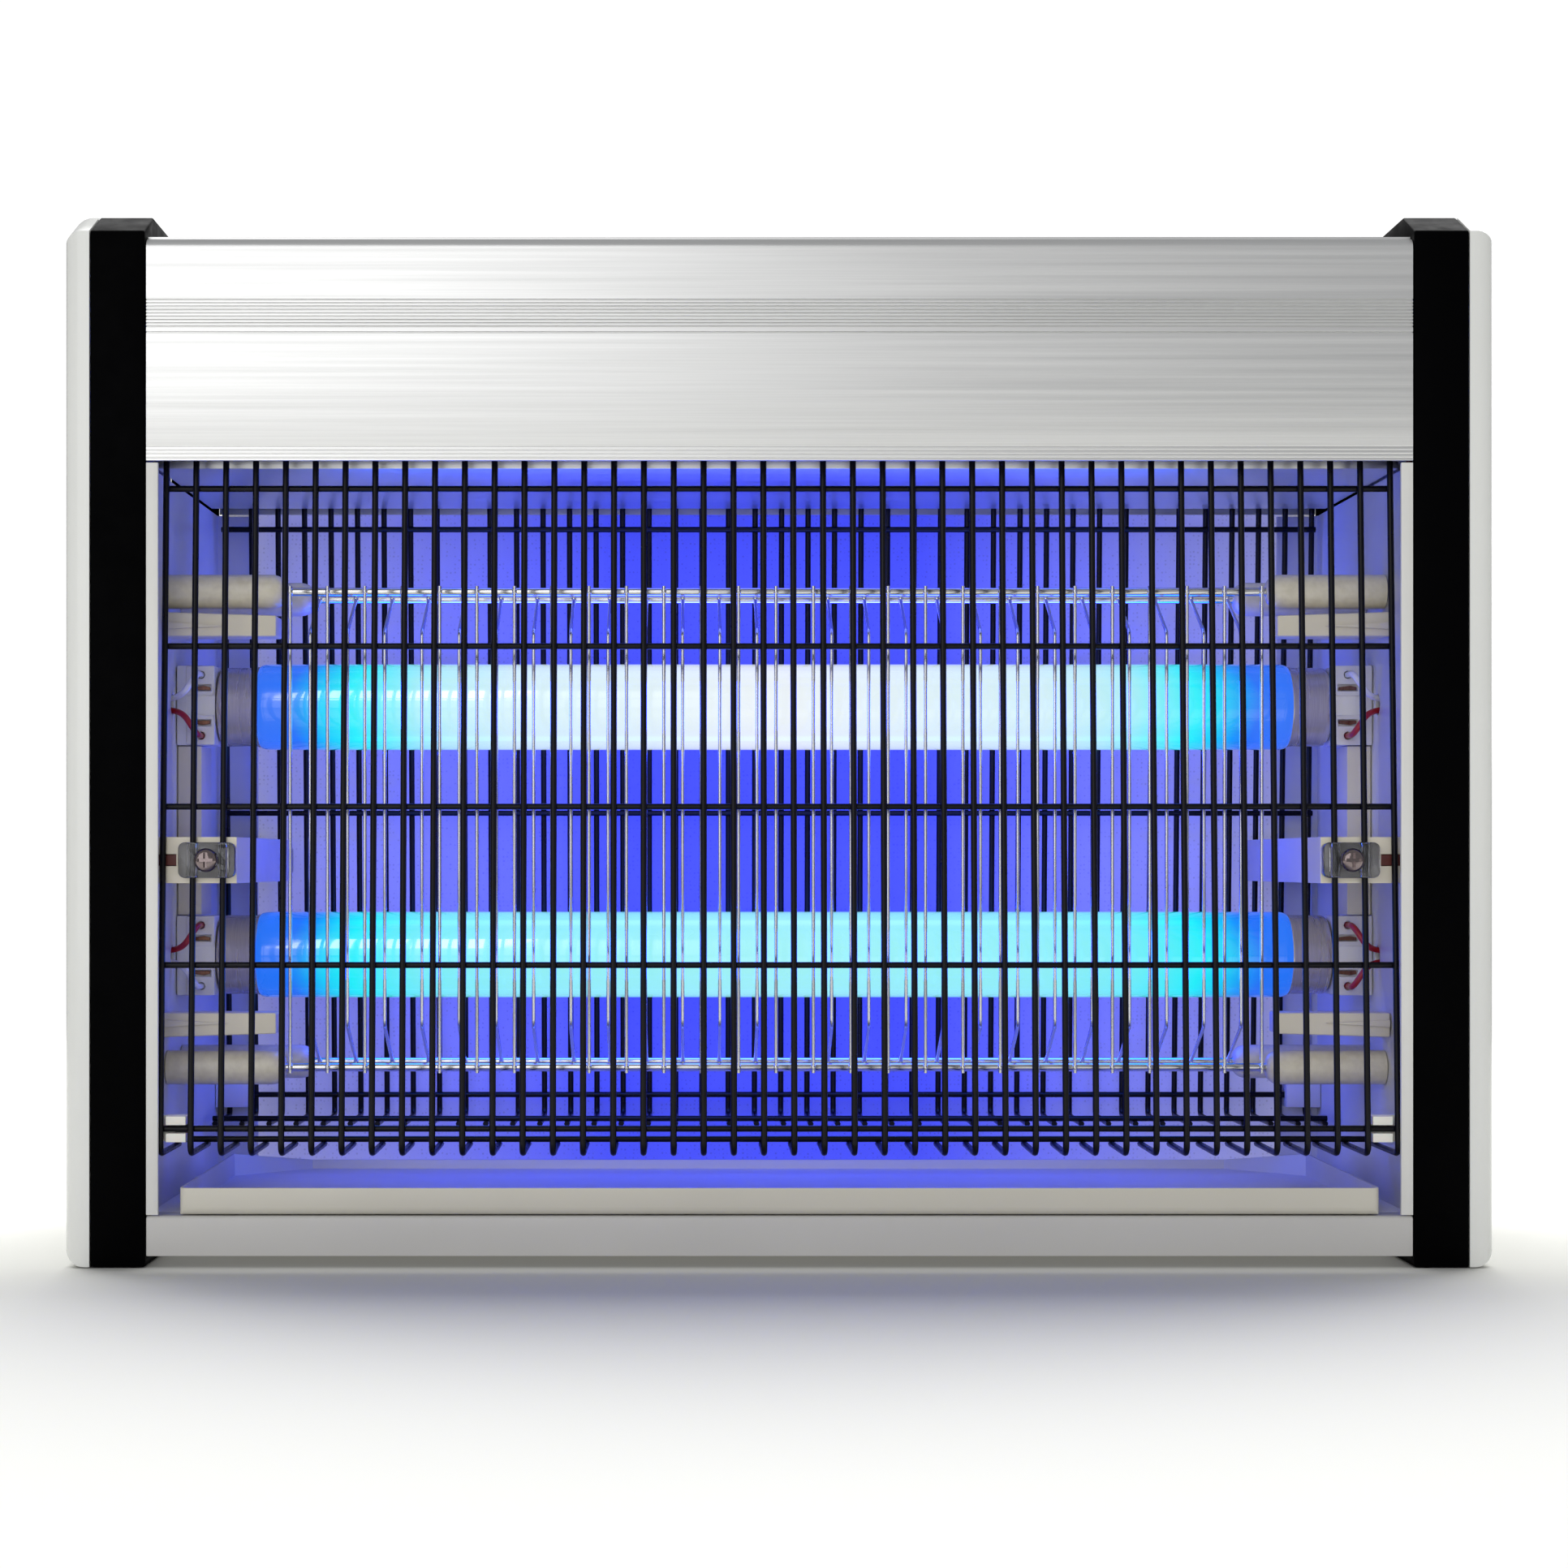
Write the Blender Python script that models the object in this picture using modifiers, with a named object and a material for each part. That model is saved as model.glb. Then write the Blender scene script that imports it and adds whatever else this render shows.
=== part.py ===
"""Free-standing electric insect killer: aluminium header, two ultraviolet tubes, a live wire grid,
wire guards front and rear, and a pull-out tray between two moulded end caps.

Metres, +Z up.  The origin is at the bottom centre, the front faces -Y and the width runs along X.
"""

import math

import bmesh
import bpy
from mathutils import Matrix, Vector

MM = 0.001

# Whole body
BODY_WIDTH = 400 * MM
BODY_DEPTH = 130 * MM
BODY_HEIGHT = 295.5 * MM
GAP = 0.3 * MM

# End caps, black trims and inner side panels
CAP_WIDTH = 7.5 * MM
CAP_WALL = 2.2 * MM
CAP_ROUND = 6 * MM
TRIM_WIDTH = 15.2 * MM
SHOULDER_RUN = 13.6 * MM
SHOULDER_DROP = 6.5 * MM
PANEL_SHEET = 1.5 * MM
FRONT_POST_WIDTH = 3.3 * MM
REAR_POST_WIDTH = 12.3 * MM
LEDGE_WIDTH = 17 * MM
LEDGE_SHEET = 1.3 * MM

# Header
HEADER_HEIGHT = 63 * MM
HEADER_STEP = 7.5 * MM
HEADER_WALL = 1.5 * MM
HEADER_CHAMFER = 1.6 * MM
RIB_COUNT = 9
RIB_PITCH = 1.0 * MM
RIB_DEPTH = 0.35 * MM
RIB_FROM_TOP = 18.4 * MM
PLATE_SHEET = 1.0 * MM
PLATE_FLANGE = 6 * MM

# Base rails and tray
RAIL_FOOT = 3 * MM
RAIL_HEIGHT = 11.2 * MM
RAIL_DEPTH = 10 * MM
RAIL_WALL = 1.3 * MM
TRAY_SHEET = 0.8 * MM
TRAY_LIP = 7.6 * MM
TRAY_REAR_DROP = 4 * MM
TRAY_CORNER = 22 * MM
TRAY_SIDE_CLEARANCE = 9.2 * MM
TRAY_REAR_CLEARANCE = 2.4 * MM

# Wire guards
GUARD_WIRE = 1.8 * MM
GUARD_PITCH = 8.45 * MM
GUARD_EDGE_CLEARANCE = 3 * MM
GUARD_BAR_HEIGHTS = (38.2 * MM, 84 * MM, 128.6 * MM, 174 * MM, 218.8 * MM)
GUARD_BOTTOM = 31.3 * MM
GUARD_HIDDEN_TOP = 11 * MM
GUARD_HOOK = 30 * MM
GUARD_BEND = 2.5 * MM
GUARD_SETBACK_LOW = 3 * MM
GUARD_SETBACK_HIGH = 13 * MM
WELD_SINK = 0.25 * MM

# Live grid
ROD_DIAMETER = 2.4 * MM
GRID_WIRE = 1.1 * MM
GRID_PITCH = 10.85 * MM
GRID_END_CLEARANCE = 1 * MM
ROD_HEIGHTS = (53.3 * MM, 191.5 * MM)
FRONT_ROD_SETBACK = 35 * MM
REAR_ROD_SETBACK = 60 * MM
REAR_WIRE_SETBACK = 37 * MM
REAR_WIRE_LEVELS = (65 * MM, 180 * MM)
ROD_INSERTION = 24 * MM
WIRE_END_OVERHANG = 0.4 * MM

# Insulators
SLEEVE_DIAMETER = 10 * MM
SLEEVE_ROUND = 2.2 * MM
FRONT_SLEEVE_LENGTH = 34.3 * MM
REAR_SLEEVE_LENGTH = 39.3 * MM
RIB_LENGTH = 32.5 * MM
RIB_ROOT_HEIGHT = 7 * MM
RIB_TIP_HEIGHT = 6 * MM
RIB_THICKNESS = 12 * MM
RIB_RIDGE = 1 * MM
RIB_RIDGE_LENGTH = 17 * MM
RIB_HEIGHTS = (66.5 * MM, 181 * MM)
RIB_SETBACK = 33 * MM

# Lamps and lampholders
LAMP_HEIGHTS = {"lower": 85.3 * MM, "upper": 159.3 * MM}
LAMP_SETBACK = 60 * MM
LAMP_LENGTH = 330.4 * MM
LAMP_DIAMETER = 25.6 * MM
LAMP_CAP_DIAMETER = 23.6 * MM
LAMP_CAP_LENGTH = 12 * MM
PIN_SPACING = 12.7 * MM
PIN_DIAMETER = 2.4 * MM
PIN_LENGTH = 7 * MM
HOLDER_HEIGHT = 23.5 * MM
HOLDER_FRONT = 11 * MM
HOLDER_BACK = 14 * MM
ROTOR_CLEARANCE = 0.8 * MM
TERMINAL_OFFSET = 9 * MM
TERMINAL_FROM_WALL = 7.2 * MM
TERMINAL_DEPTH = 4.5 * MM
CONTACT_OFFSET = 5.2 * MM
CONTACT_SLOT = (6 * MM, 1.5 * MM, 2 * MM)

# Lamp leads
LEAD_DIAMETER = 1.8 * MM
LEAD_SETBACK = 44 * MM
LEAD_SPACING = 3.0 * MM
LEAD_PAIR = 3.4 * MM
LEAD_HOLE = 6.4 * MM
LEAD_LOOP = 7 * MM
LEAD_BEND = 3.5 * MM
LEAD_BEND_POINTS = 2
LANE_START = 5 * MM
HEADER_LANE = 6 * MM
BALLAST_TERMINAL_PITCH = 6 * MM

# Mid brackets, clear clips and their screws
BRACKET_HEIGHT = 113.5 * MM
BRACKET_REACH = 24 * MM
BRACKET_THICKNESS = 13 * MM
BRACKET_GUARD_GAP = 0.5 * MM
COLUMN_WIDTH = 7 * MM
COLUMN_DEPTH = 18 * MM
NUT_SLOT = (7 * MM, 6 * MM, 3.4 * MM)
CLIP_SIZE = (16 * MM, 4.4 * MM, 10 * MM)
CLIP_CORNER = 1.6 * MM
CLIP_GROOVE = 2.5 * MM
SCREW_SHANK = 3.0 * MM
SCREW_LENGTH = 14 * MM
SCREW_HEAD = 6.7 * MM
SCREW_HEAD_HEIGHT = 2.0 * MM
SCREW_SLOT = (4.2 * MM, 0.9 * MM, 1.0 * MM)

# Snap clips that hold the lowest guard bar
SNAP_JAW = 2.5 * MM
SNAP_DEPTH = 3.6 * MM
SNAP_INSET = 5.7 * MM
SNAP_NOSE = 2.4 * MM
PANEL_SLOT = (2.4 * MM, 10 * MM)

# Header contents
CORE_SIZE = (48 * MM, 18 * MM, 40 * MM)
COIL_SIZE = (32 * MM, 38 * MM, 28 * MM)
CORE_FOOT = (64 * MM, 18 * MM, 1.5 * MM)
CORE_X = -36 * MM
TRANSFORMER_LEAD_CLEARANCE = 2 * MM
BALLAST_SIZE = (120 * MM, 38 * MM, 27 * MM)
BALLAST_TAB = (140 * MM, 24 * MM, 1.5 * MM)
BALLAST_X = 90 * MM
BALLAST_LEAD_CLEARANCE = 6.1 * MM

# Switch and cord inlet on the right end cap
SWITCH_SIZE = (13.7 * MM, 13 * MM, 19 * MM)
SWITCH_WALL = 1.3 * MM
SWITCH_WELL = 7.7 * MM
SWITCH_HEIGHT = 162 * MM
SWITCH_Y = 30 * MM
ROCKER_PIVOT_DEPTH = 3.5 * MM
ROCKER_DEPTH = 5.3 * MM
ROCKER_TIP_CLEARANCE = 0.6 * MM
ROCKER_DISH = 0.8 * MM
INLET_HEIGHT = 26 * MM
INLET_Y = 40 * MM
INLET_HOLE = 10 * MM
INLET_FLANGE = 13 * MM
INLET_BORE = 6 * MM
INLET_FLANGE_THICKNESS = 2 * MM

# Planes that the sizes above lead to
FRONT_Y = -BODY_DEPTH / 2
FACE_Y = FRONT_Y + GAP
CAP_OUTER_X = BODY_WIDTH / 2
CAP_INNER_X = CAP_OUTER_X - CAP_WIDTH
TRIM_OUTER_X = CAP_INNER_X - GAP
WALL_X = TRIM_OUTER_X - TRIM_WIDTH
INSIDE_X = WALL_X - GAP
HEADER_TOP = BODY_HEIGHT - HEADER_STEP
HEADER_BOTTOM = HEADER_TOP - HEADER_HEIGHT
RAIL_TOP = RAIL_FOOT + RAIL_HEIGHT
TRAY_BOTTOM = RAIL_TOP + GAP
GUARD_TOP = HEADER_BOTTOM + GUARD_HIDDEN_TOP
GUARD_WIRES = int(2 * (INSIDE_X - GUARD_EDGE_CLEARANCE) / GUARD_PITCH) + 1
GUARD_HALF_WIDTH = (GUARD_WIRES - 1) * GUARD_PITCH / 2
SLEEVE_NOSE_X = INSIDE_X - FRONT_SLEEVE_LENGTH
FRONT_GRID_WIRES = int(2 * (SLEEVE_NOSE_X - GRID_END_CLEARANCE) / GRID_PITCH) + 1
BAR_OFFSET = GUARD_WIRE - WELD_SINK
LAMP_Y = FRONT_Y + LAMP_SETBACK
LEAD_Y = FRONT_Y + LEAD_SETBACK
HOLDER_FACE_X = LAMP_LENGTH / 2 + GAP
HOLE_CLEARANCE = 2 * GAP

AXIS_X = (0, math.pi / 2, 0)
AXIS_MINUS_X = (0, -math.pi / 2, 0)
AXIS_Y = (-math.pi / 2, 0, 0)
ACROSS_X = (math.pi / 2, 0, math.pi / 2)
ACROSS_Y = (math.pi / 2, 0, 0)
SIDES = (("left", -1), ("right", 1))
FACES = (("front", 1), ("rear", -1))


# ---------------------------------------------------------------- scene and materials

def clear_scene():
    for item in list(bpy.data.objects):
        bpy.data.objects.remove(item, do_unlink=True)


def new_collection(name):
    collection = bpy.data.collections.new(name)
    bpy.context.scene.collection.children.link(collection)
    return collection


def new_material(name, colour, roughness, metallic=0.0):
    made = bpy.data.materials.new(name)
    made.use_nodes = True
    shader = made.node_tree.nodes["Principled BSDF"]
    shader.inputs["Base Color"].default_value = (*colour, 1)
    shader.inputs["Roughness"].default_value = roughness
    shader.inputs["Metallic"].default_value = metallic
    return made


clear_scene()
PARTS = new_collection("electric_insect_killer")
CUTTERS = new_collection("cutters")

WHITE_ABS = new_material("white_gloss_abs", (0.86, 0.86, 0.85), 0.22)
BLACK_ABS = new_material("black_gloss_abs", (0.012, 0.012, 0.014), 0.3)
PANEL_WHITE = new_material("white_panel", (0.80, 0.79, 0.76), 0.45)
ALUMINIUM = new_material("brushed_aluminium", (0.66, 0.66, 0.67), 0.34, 1.0)
TRAY_PAINT = new_material("cream_painted_sheet", (0.72, 0.69, 0.62), 0.42, 0.2)
BLACK_WIRE = new_material("black_coated_wire", (0.01, 0.01, 0.014), 0.42)
STEEL = new_material("bright_steel", (0.72, 0.72, 0.74), 0.14, 1.0)
CERAMIC = new_material("beige_ceramic", (0.62, 0.58, 0.48), 0.38)
BEIGE = new_material("beige_moulding", (0.66, 0.61, 0.49), 0.5)
GLASS = new_material("blue_lamp_glass", (0.12, 0.45, 0.95), 0.1)
HOLDER = new_material("grey_lampholder", (0.62, 0.61, 0.62), 0.5)
CLEAR = new_material("clear_acrylic", (0.75, 0.77, 0.82), 0.05)
NYLON = new_material("white_nylon", (0.82, 0.80, 0.74), 0.4)
RED_LEAD = new_material("red_insulation", (0.42, 0.02, 0.03), 0.45)
WHITE_LEAD = new_material("white_insulation", (0.74, 0.74, 0.80), 0.45)
LAMINATION = new_material("dark_laminations", (0.16, 0.16, 0.17), 0.55, 0.6)
BALLAST_CASE = new_material("zinc_case", (0.55, 0.56, 0.57), 0.4, 0.9)
RUBBER = new_material("grey_rubber", (0.16, 0.16, 0.16), 0.7)


# ---------------------------------------------------------------- modelling helpers

def place(item, name, material=None):
    """Names an object and puts it with the parts, or with the cutters if it has no material."""
    item.name = name
    item.data.name = name
    collection = PARTS if material else CUTTERS
    for other in list(item.users_collection):
        other.objects.unlink(item)
    collection.objects.link(item)
    if material:
        item.data.materials.clear()
        item.data.materials.append(material)
    else:
        item.hide_render = True
        item.display_type = "WIRE"
    return item


def object_from_bmesh(name, shape, material=None, location=(0, 0, 0), rotation=(0, 0, 0)):
    mesh = bpy.data.meshes.new(name)
    shape.to_mesh(mesh)
    shape.free()
    item = bpy.data.objects.new(name, mesh)
    item.location = location
    item.rotation_euler = rotation
    return place(item, name, material)


def box(name, size, centre, material=None):
    shape = bmesh.new()
    bmesh.ops.create_cube(shape, size=1)
    bmesh.ops.scale(shape, vec=size, verts=shape.verts)
    return object_from_bmesh(name, shape, material, centre)


def box_between(name, low, high, material=None):
    size = [b - a for a, b in zip(low, high)]
    centre = [(a + b) / 2 for a, b in zip(low, high)]
    return box(name, size, centre, material)


def cylinder(name, diameter, length, centre, rotation, material=None, sides=12):
    shape = bmesh.new()
    bmesh.ops.create_cone(shape, cap_ends=True, segments=sides, radius1=diameter / 2,
                          radius2=diameter / 2, depth=length)
    return object_from_bmesh(name, shape, material, centre, rotation)


def outline_curve(name, outlines, thickness, centre, rotation, material=None):
    """A flat outline, with any holes after the first loop, extruded both ways from its plane."""
    curve = bpy.data.curves.new(name, "CURVE")
    curve.dimensions = "2D"
    curve.fill_mode = "BOTH"
    curve.extrude = thickness / 2
    for loop in outlines:
        spline = curve.splines.new("POLY")
        spline.points.add(len(loop) - 1)
        for point, (u, v) in zip(spline.points, loop):
            point.co = (u, v, 0, 1)
        spline.use_cyclic_u = True
    item = bpy.data.objects.new(name, curve)
    item.location = centre
    item.rotation_euler = rotation
    return place(item, name, material)


def meshed(item, material=None):
    """Replaces a curve object by a welded mesh object that a Boolean can work on."""
    bpy.context.view_layer.update()
    evaluated = item.evaluated_get(bpy.context.evaluated_depsgraph_get())
    mesh = bpy.data.meshes.new_from_object(evaluated)
    shape = bmesh.new()
    shape.from_mesh(mesh)
    bmesh.ops.remove_doubles(shape, verts=shape.verts, dist=1e-6)
    bmesh.ops.recalc_face_normals(shape, faces=shape.faces)
    shape.to_mesh(mesh)
    shape.free()
    name = item.name
    matrix = item.matrix_world.copy()
    bpy.data.objects.remove(item, do_unlink=True)
    solid = bpy.data.objects.new(name, mesh)
    solid.matrix_world = matrix
    return place(solid, name, material)


def prism(name, outlines, thickness, centre, rotation, material=None):
    return meshed(outline_curve(name, outlines, thickness, centre, rotation), material)


def wire_curve(name, points, diameter, material=None, resolution=1):
    curve = bpy.data.curves.new(name, "CURVE")
    curve.dimensions = "3D"
    curve.bevel_depth = diameter / 2
    curve.bevel_resolution = resolution
    curve.use_fill_caps = True
    spline = curve.splines.new("POLY")
    spline.points.add(len(points) - 1)
    for point, place_at in zip(spline.points, points):
        point.co = (*place_at, 1)
    item = bpy.data.objects.new(name, curve)
    return place(item, name, material)


def joined(name, items, material=None):
    """One mesh object that holds several meshed pieces, which may not touch each other."""
    bpy.context.view_layer.update()
    shape = bmesh.new()
    for item in items:
        solid = meshed(item) if item.type == "CURVE" else item
        part = solid.data.copy()
        part.transform(solid.matrix_world)
        shape.from_mesh(part)
        bpy.data.objects.remove(solid, do_unlink=True)
        bpy.data.meshes.remove(part)
    return object_from_bmesh(name, shape, material)


def turned(name, profile, centre, rotation, material=None, sides=12, closed=False):
    """Turns a profile of (radius, height) points, which runs down its outer side."""
    mesh = bpy.data.meshes.new(name)
    count = len(profile)
    edges = [(i, i + 1) for i in range(count - 1)]
    if closed:
        edges.append((count - 1, 0))
    mesh.from_pydata([(radius, 0, height) for radius, height in profile], edges, [])
    item = bpy.data.objects.new(name, mesh)
    item.location = centre
    item.rotation_euler = rotation
    screw = item.modifiers.new("turn", "SCREW")
    screw.steps = sides
    screw.render_steps = sides
    screw.use_merge_vertices = True
    screw.merge_threshold = 1e-5
    screw.use_smooth_shade = False
    return place(item, name, material)


def boolean(item, other, operation):
    change = item.modifiers.new(other.name, "BOOLEAN")
    change.operation = operation
    change.object = other
    return item


def cut(item, *cutters):
    for cutter in cutters:
        boolean(item, cutter, "DIFFERENCE")
    return item


def fuse(item, *others):
    for other in others:
        boolean(item, other, "UNION")
    return item


def merge_flats(item):
    """Dissolves the edges inside flat faces, so that a bevel meets whole faces."""
    shape = bmesh.new()
    shape.from_mesh(item.data)
    bmesh.ops.dissolve_limit(shape, angle_limit=math.radians(0.5), verts=shape.verts, edges=shape.edges)
    shape.to_mesh(item.data)
    shape.free()
    return item


def smooth_round(item, degrees=35):
    item.data.shade_smooth()
    item.data.set_sharp_from_angle(angle=math.radians(degrees))
    return item


def inset(outline, distance):
    """A convex outline, given anticlockwise, moved inwards by a distance."""
    moved = []
    for index, corner in enumerate(outline):
        before = Vector(outline[index - 1])
        here = Vector(corner)
        after = Vector(outline[(index + 1) % len(outline)])
        first = (here - before).normalized()
        second = (after - here).normalized()
        normal_1 = Vector((-first.y, first.x))
        normal_2 = Vector((-second.y, second.x))
        bisector = (normal_1 + normal_2).normalized()
        moved.append(tuple(here + bisector * distance / bisector.dot(normal_1)))
    return moved


def arc(centre, radius, start, end, steps):
    """Points on an arc, with its angles in degrees."""
    points = []
    for index in range(steps + 1):
        angle = math.radians(start + (end - start) * index / steps)
        points.append((centre[0] + radius * math.cos(angle), centre[1] + radius * math.sin(angle)))
    return points


def filleted(route, radius, steps):
    """Rounds each corner of a route with a short curve."""
    route = [Vector(point) for point in route]
    points = [route[0]]
    for before, corner, after in zip(route, route[1:], route[2:]):
        reach = min(radius, (corner - before).length * 0.45, (after - corner).length * 0.45)
        start = corner + (before - corner).normalized() * reach
        end = corner + (after - corner).normalized() * reach
        for index in range(steps + 1):
            t = index / steps
            points.append(start * (1 - t) ** 2 + corner * 2 * t * (1 - t) + end * t ** 2)
    points.append(route[-1])
    return points


# ---------------------------------------------------------------- body

def side_outline():
    """The end view of the body as (y, z) points, anticlockwise seen from +X."""
    half = BODY_DEPTH / 2
    shoulder = BODY_HEIGHT - SHOULDER_DROP
    return [(-half, 0), (half, 0), (half, shoulder), (half - SHOULDER_RUN, BODY_HEIGHT),
            (-half + SHOULDER_RUN, BODY_HEIGHT), (-half, shoulder)]


def end_cap(side, sign):
    name = f"{side}_end_cap"
    middle = sign * (CAP_OUTER_X - CAP_WIDTH / 2)
    cap = merge_flats(prism(name, [side_outline()], CAP_WIDTH, (middle, 0, 0), ACROSS_X, WHITE_ABS))
    outer = cap.data.attributes.new("bevel_weight_edge", "FLOAT", "EDGE")
    local_side = sign * CAP_WIDTH / 2
    for edge in cap.data.edges:
        ends = [cap.data.vertices[index].co.z for index in edge.vertices]
        if all(abs(end - local_side) < 1e-5 for end in ends):
            outer.data[edge.index].value = 1
    bevel = cap.modifiers.new("outer_round", "BEVEL")
    bevel.limit_method = "WEIGHT"
    bevel.width = CAP_ROUND
    bevel.segments = 4
    hollow_depth = 2 * (CAP_WIDTH - CAP_WALL)
    hollow = prism(f"{side}_cap_hollow", [inset(side_outline(), CAP_WALL)], hollow_depth,
                   (sign * CAP_INNER_X, 0, 0), ACROSS_X)
    return cut(cap, hollow)


def black_trim(side, sign):
    middle = sign * (WALL_X + TRIM_WIDTH / 2)
    half = BODY_DEPTH / 2 - CAP_WALL
    ceiling = HEADER_TOP - CAP_WALL
    inner = [(-half, CAP_WALL), (half, CAP_WALL), (half, ceiling), (-half, ceiling)]
    return outline_curve(f"{side}_black_trim", [side_outline(), inner], TRIM_WIDTH, (middle, 0, 0),
                         ACROSS_X, BLACK_ABS)


def panel_outline(sign):
    """The inner wall in plan: a web with a folded post at its front edge and a wide one at its rear."""
    web_out = WALL_X + PANEL_SHEET
    web_edge = BODY_DEPTH / 2 - CAP_WALL - GAP
    post_face = -FACE_Y
    post_back = web_edge - PANEL_SHEET + GAP
    leg_in = INSIDE_X - PANEL_SHEET
    outline = []
    for end, post_width in ((-1, FRONT_POST_WIDTH), (1, REAR_POST_WIDTH)):
        post_in = INSIDE_X - post_width
        edge = [(web_out, web_edge), (INSIDE_X, web_edge), (INSIDE_X, post_face), (post_in, post_face),
                (post_in, post_face - PANEL_SHEET), (leg_in, post_face - PANEL_SHEET),
                (leg_in, post_back), (WALL_X, post_back)]
        outline += [(sign * x, end * y) for x, y in edge[::-end]]
    return outline


def side_panel(side, sign):
    low = TRAY_BOTTOM
    high = HEADER_BOTTOM - 2 * GAP
    panel = prism(f"{side}_side_panel", [panel_outline(sign)], high - low, (0, 0, (low + high) / 2),
                  (0, 0, 0), PANEL_WHITE)
    inner_half = BODY_DEPTH / 2 - RAIL_DEPTH - 2 * GAP
    skin = 0.2 * MM
    x_web = sorted((sign * (WALL_X + skin), sign * (WALL_X + PANEL_SHEET - skin)))
    skirt = box_between(f"{side}_panel_skirt", (x_web[0], -inner_half, CAP_WALL + GAP),
                        (x_web[1], inner_half, low + LEDGE_SHEET))
    x_ledge = sorted((sign * (INSIDE_X - LEDGE_WIDTH), sign * (WALL_X + PANEL_SHEET / 2)))
    ledge = box_between(f"{side}_tray_ledge", (x_ledge[0], -inner_half + skin, RAIL_TOP - LEDGE_SHEET),
                        (x_ledge[1], inner_half - skin, RAIL_TOP))
    fuse(panel, skirt, ledge)
    web_middle = sign * (WALL_X + PANEL_SHEET / 2)
    for level, height in LAMP_HEIGHTS.items():
        cut(panel, cylinder(f"{side}_{level}_lead_hole", LEAD_HOLE, 4 * PANEL_SHEET,
                            (web_middle, LEAD_Y, height), AXIS_X))
    slot_width, slot_height = PANEL_SLOT
    cut(panel, box(f"{side}_panel_slot", (4 * PANEL_SHEET, slot_width, slot_height),
                   (web_middle, FRONT_Y + FRONT_ROD_SETBACK / 2, GUARD_BAR_HEIGHTS[0])))
    return panel


def header_outline():
    """The header extrusion as (y, z) points: outer face with its ribbed band, then the inner face."""
    face = -FACE_Y
    ribs = []
    band_top = HEADER_TOP - RIB_FROM_TOP
    for index in range(RIB_COUNT):
        level = band_top - index * RIB_PITCH
        ribs += [(face, level), (face - RIB_DEPTH, level - RIB_PITCH / 2)]
    ribs.append((face, band_top - RIB_COUNT * RIB_PITCH))
    crown = [(face, HEADER_TOP - HEADER_CHAMFER),
             (face - HEADER_CHAMFER * 0.45, HEADER_TOP - HEADER_CHAMFER * 0.35),
             (face - HEADER_CHAMFER * 1.3, HEADER_TOP)]
    rear_outer = [(face, HEADER_BOTTOM)] + ribs[::-1] + crown
    front_outer = [(-y, z) for y, z in reversed(rear_outer)]
    inner = face - HEADER_WALL
    ceiling = HEADER_TOP - HEADER_WALL
    inside = [(-inner, HEADER_BOTTOM), (-inner, ceiling), (inner, ceiling), (inner, HEADER_BOTTOM)]
    return rear_outer + front_outer + inside


def header_housing():
    return outline_curve("header_housing", [header_outline()], 2 * INSIDE_X, (0, 0, 0), ACROSS_X,
                         ALUMINIUM)


def plate_half_depth():
    return BODY_DEPTH / 2 - GUARD_SETBACK_HIGH - GUARD_WIRE - 2 * BAR_OFFSET


def header_base_plate():
    half = plate_half_depth()
    low = HEADER_BOTTOM
    high = low + PLATE_FLANGE
    t = PLATE_SHEET
    outline = [(-half, low), (half, low), (half, high), (half - t, high), (half - t, low + t),
               (-half + t, low + t), (-half + t, high), (-half, high)]
    return outline_curve("header_base_plate", [outline], 2 * INSIDE_X, (0, 0, 0), ACROSS_X, ALUMINIUM)


def base_rail(face, sign):
    """A channel that is open below; sign is 1 at the front and -1 at the rear."""
    outer = FACE_Y
    inner = FACE_Y + RAIL_DEPTH
    t = RAIL_WALL
    crown = t / 2
    outline = [(outer, RAIL_FOOT), (outer + t, RAIL_FOOT), (outer + t, RAIL_TOP - t),
               (inner - t, RAIL_TOP - t), (inner - t, RAIL_FOOT), (inner, RAIL_FOOT),
               (inner, RAIL_TOP), (outer + crown, RAIL_TOP), (outer, RAIL_TOP - crown)]
    outline = [(sign * y, z) for y, z in outline]
    return outline_curve(f"{face}_base_rail", [outline], 2 * INSIDE_X, (0, 0, 0), ACROSS_X, ALUMINIUM)


def collection_tray():
    """A shallow folded tray with a low rear edge and cut rear corners."""
    half = INSIDE_X - TRAY_SIDE_CLEARANCE
    rear = -FACE_Y - RAIL_DEPTH - TRAY_REAR_CLEARANCE
    c = TRAY_CORNER
    plan = [(-half, FRONT_Y), (half, FRONT_Y), (half, rear - c), (half - c, rear),
            (-half + c, rear), (-half, rear - c)]
    shape = bmesh.new()
    floor = shape.faces.new([shape.verts.new((x, y, 0)) for x, y in plan])
    sides = bmesh.ops.extrude_edge_only(shape, edges=floor.edges[:])
    rim = [item for item in sides["geom"] if isinstance(item, bmesh.types.BMVert)]
    bmesh.ops.translate(shape, verts=rim, vec=(0, 0, TRAY_LIP))
    for vertex in rim:
        if vertex.co.y > rear - c / 2:
            vertex.co.z -= TRAY_REAR_DROP
    bmesh.ops.recalc_face_normals(shape, faces=shape.faces)
    if floor.normal.z > 0:
        bmesh.ops.reverse_faces(shape, faces=shape.faces)
    tray = object_from_bmesh("collection_tray", shape, TRAY_PAINT, (0, 0, TRAY_BOTTOM))
    sheet = tray.modifiers.new("sheet", "SOLIDIFY")
    sheet.thickness = TRAY_SHEET
    sheet.offset = -1
    sheet.use_even_offset = True
    return tray


# ---------------------------------------------------------------- wire guards and live grid

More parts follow.
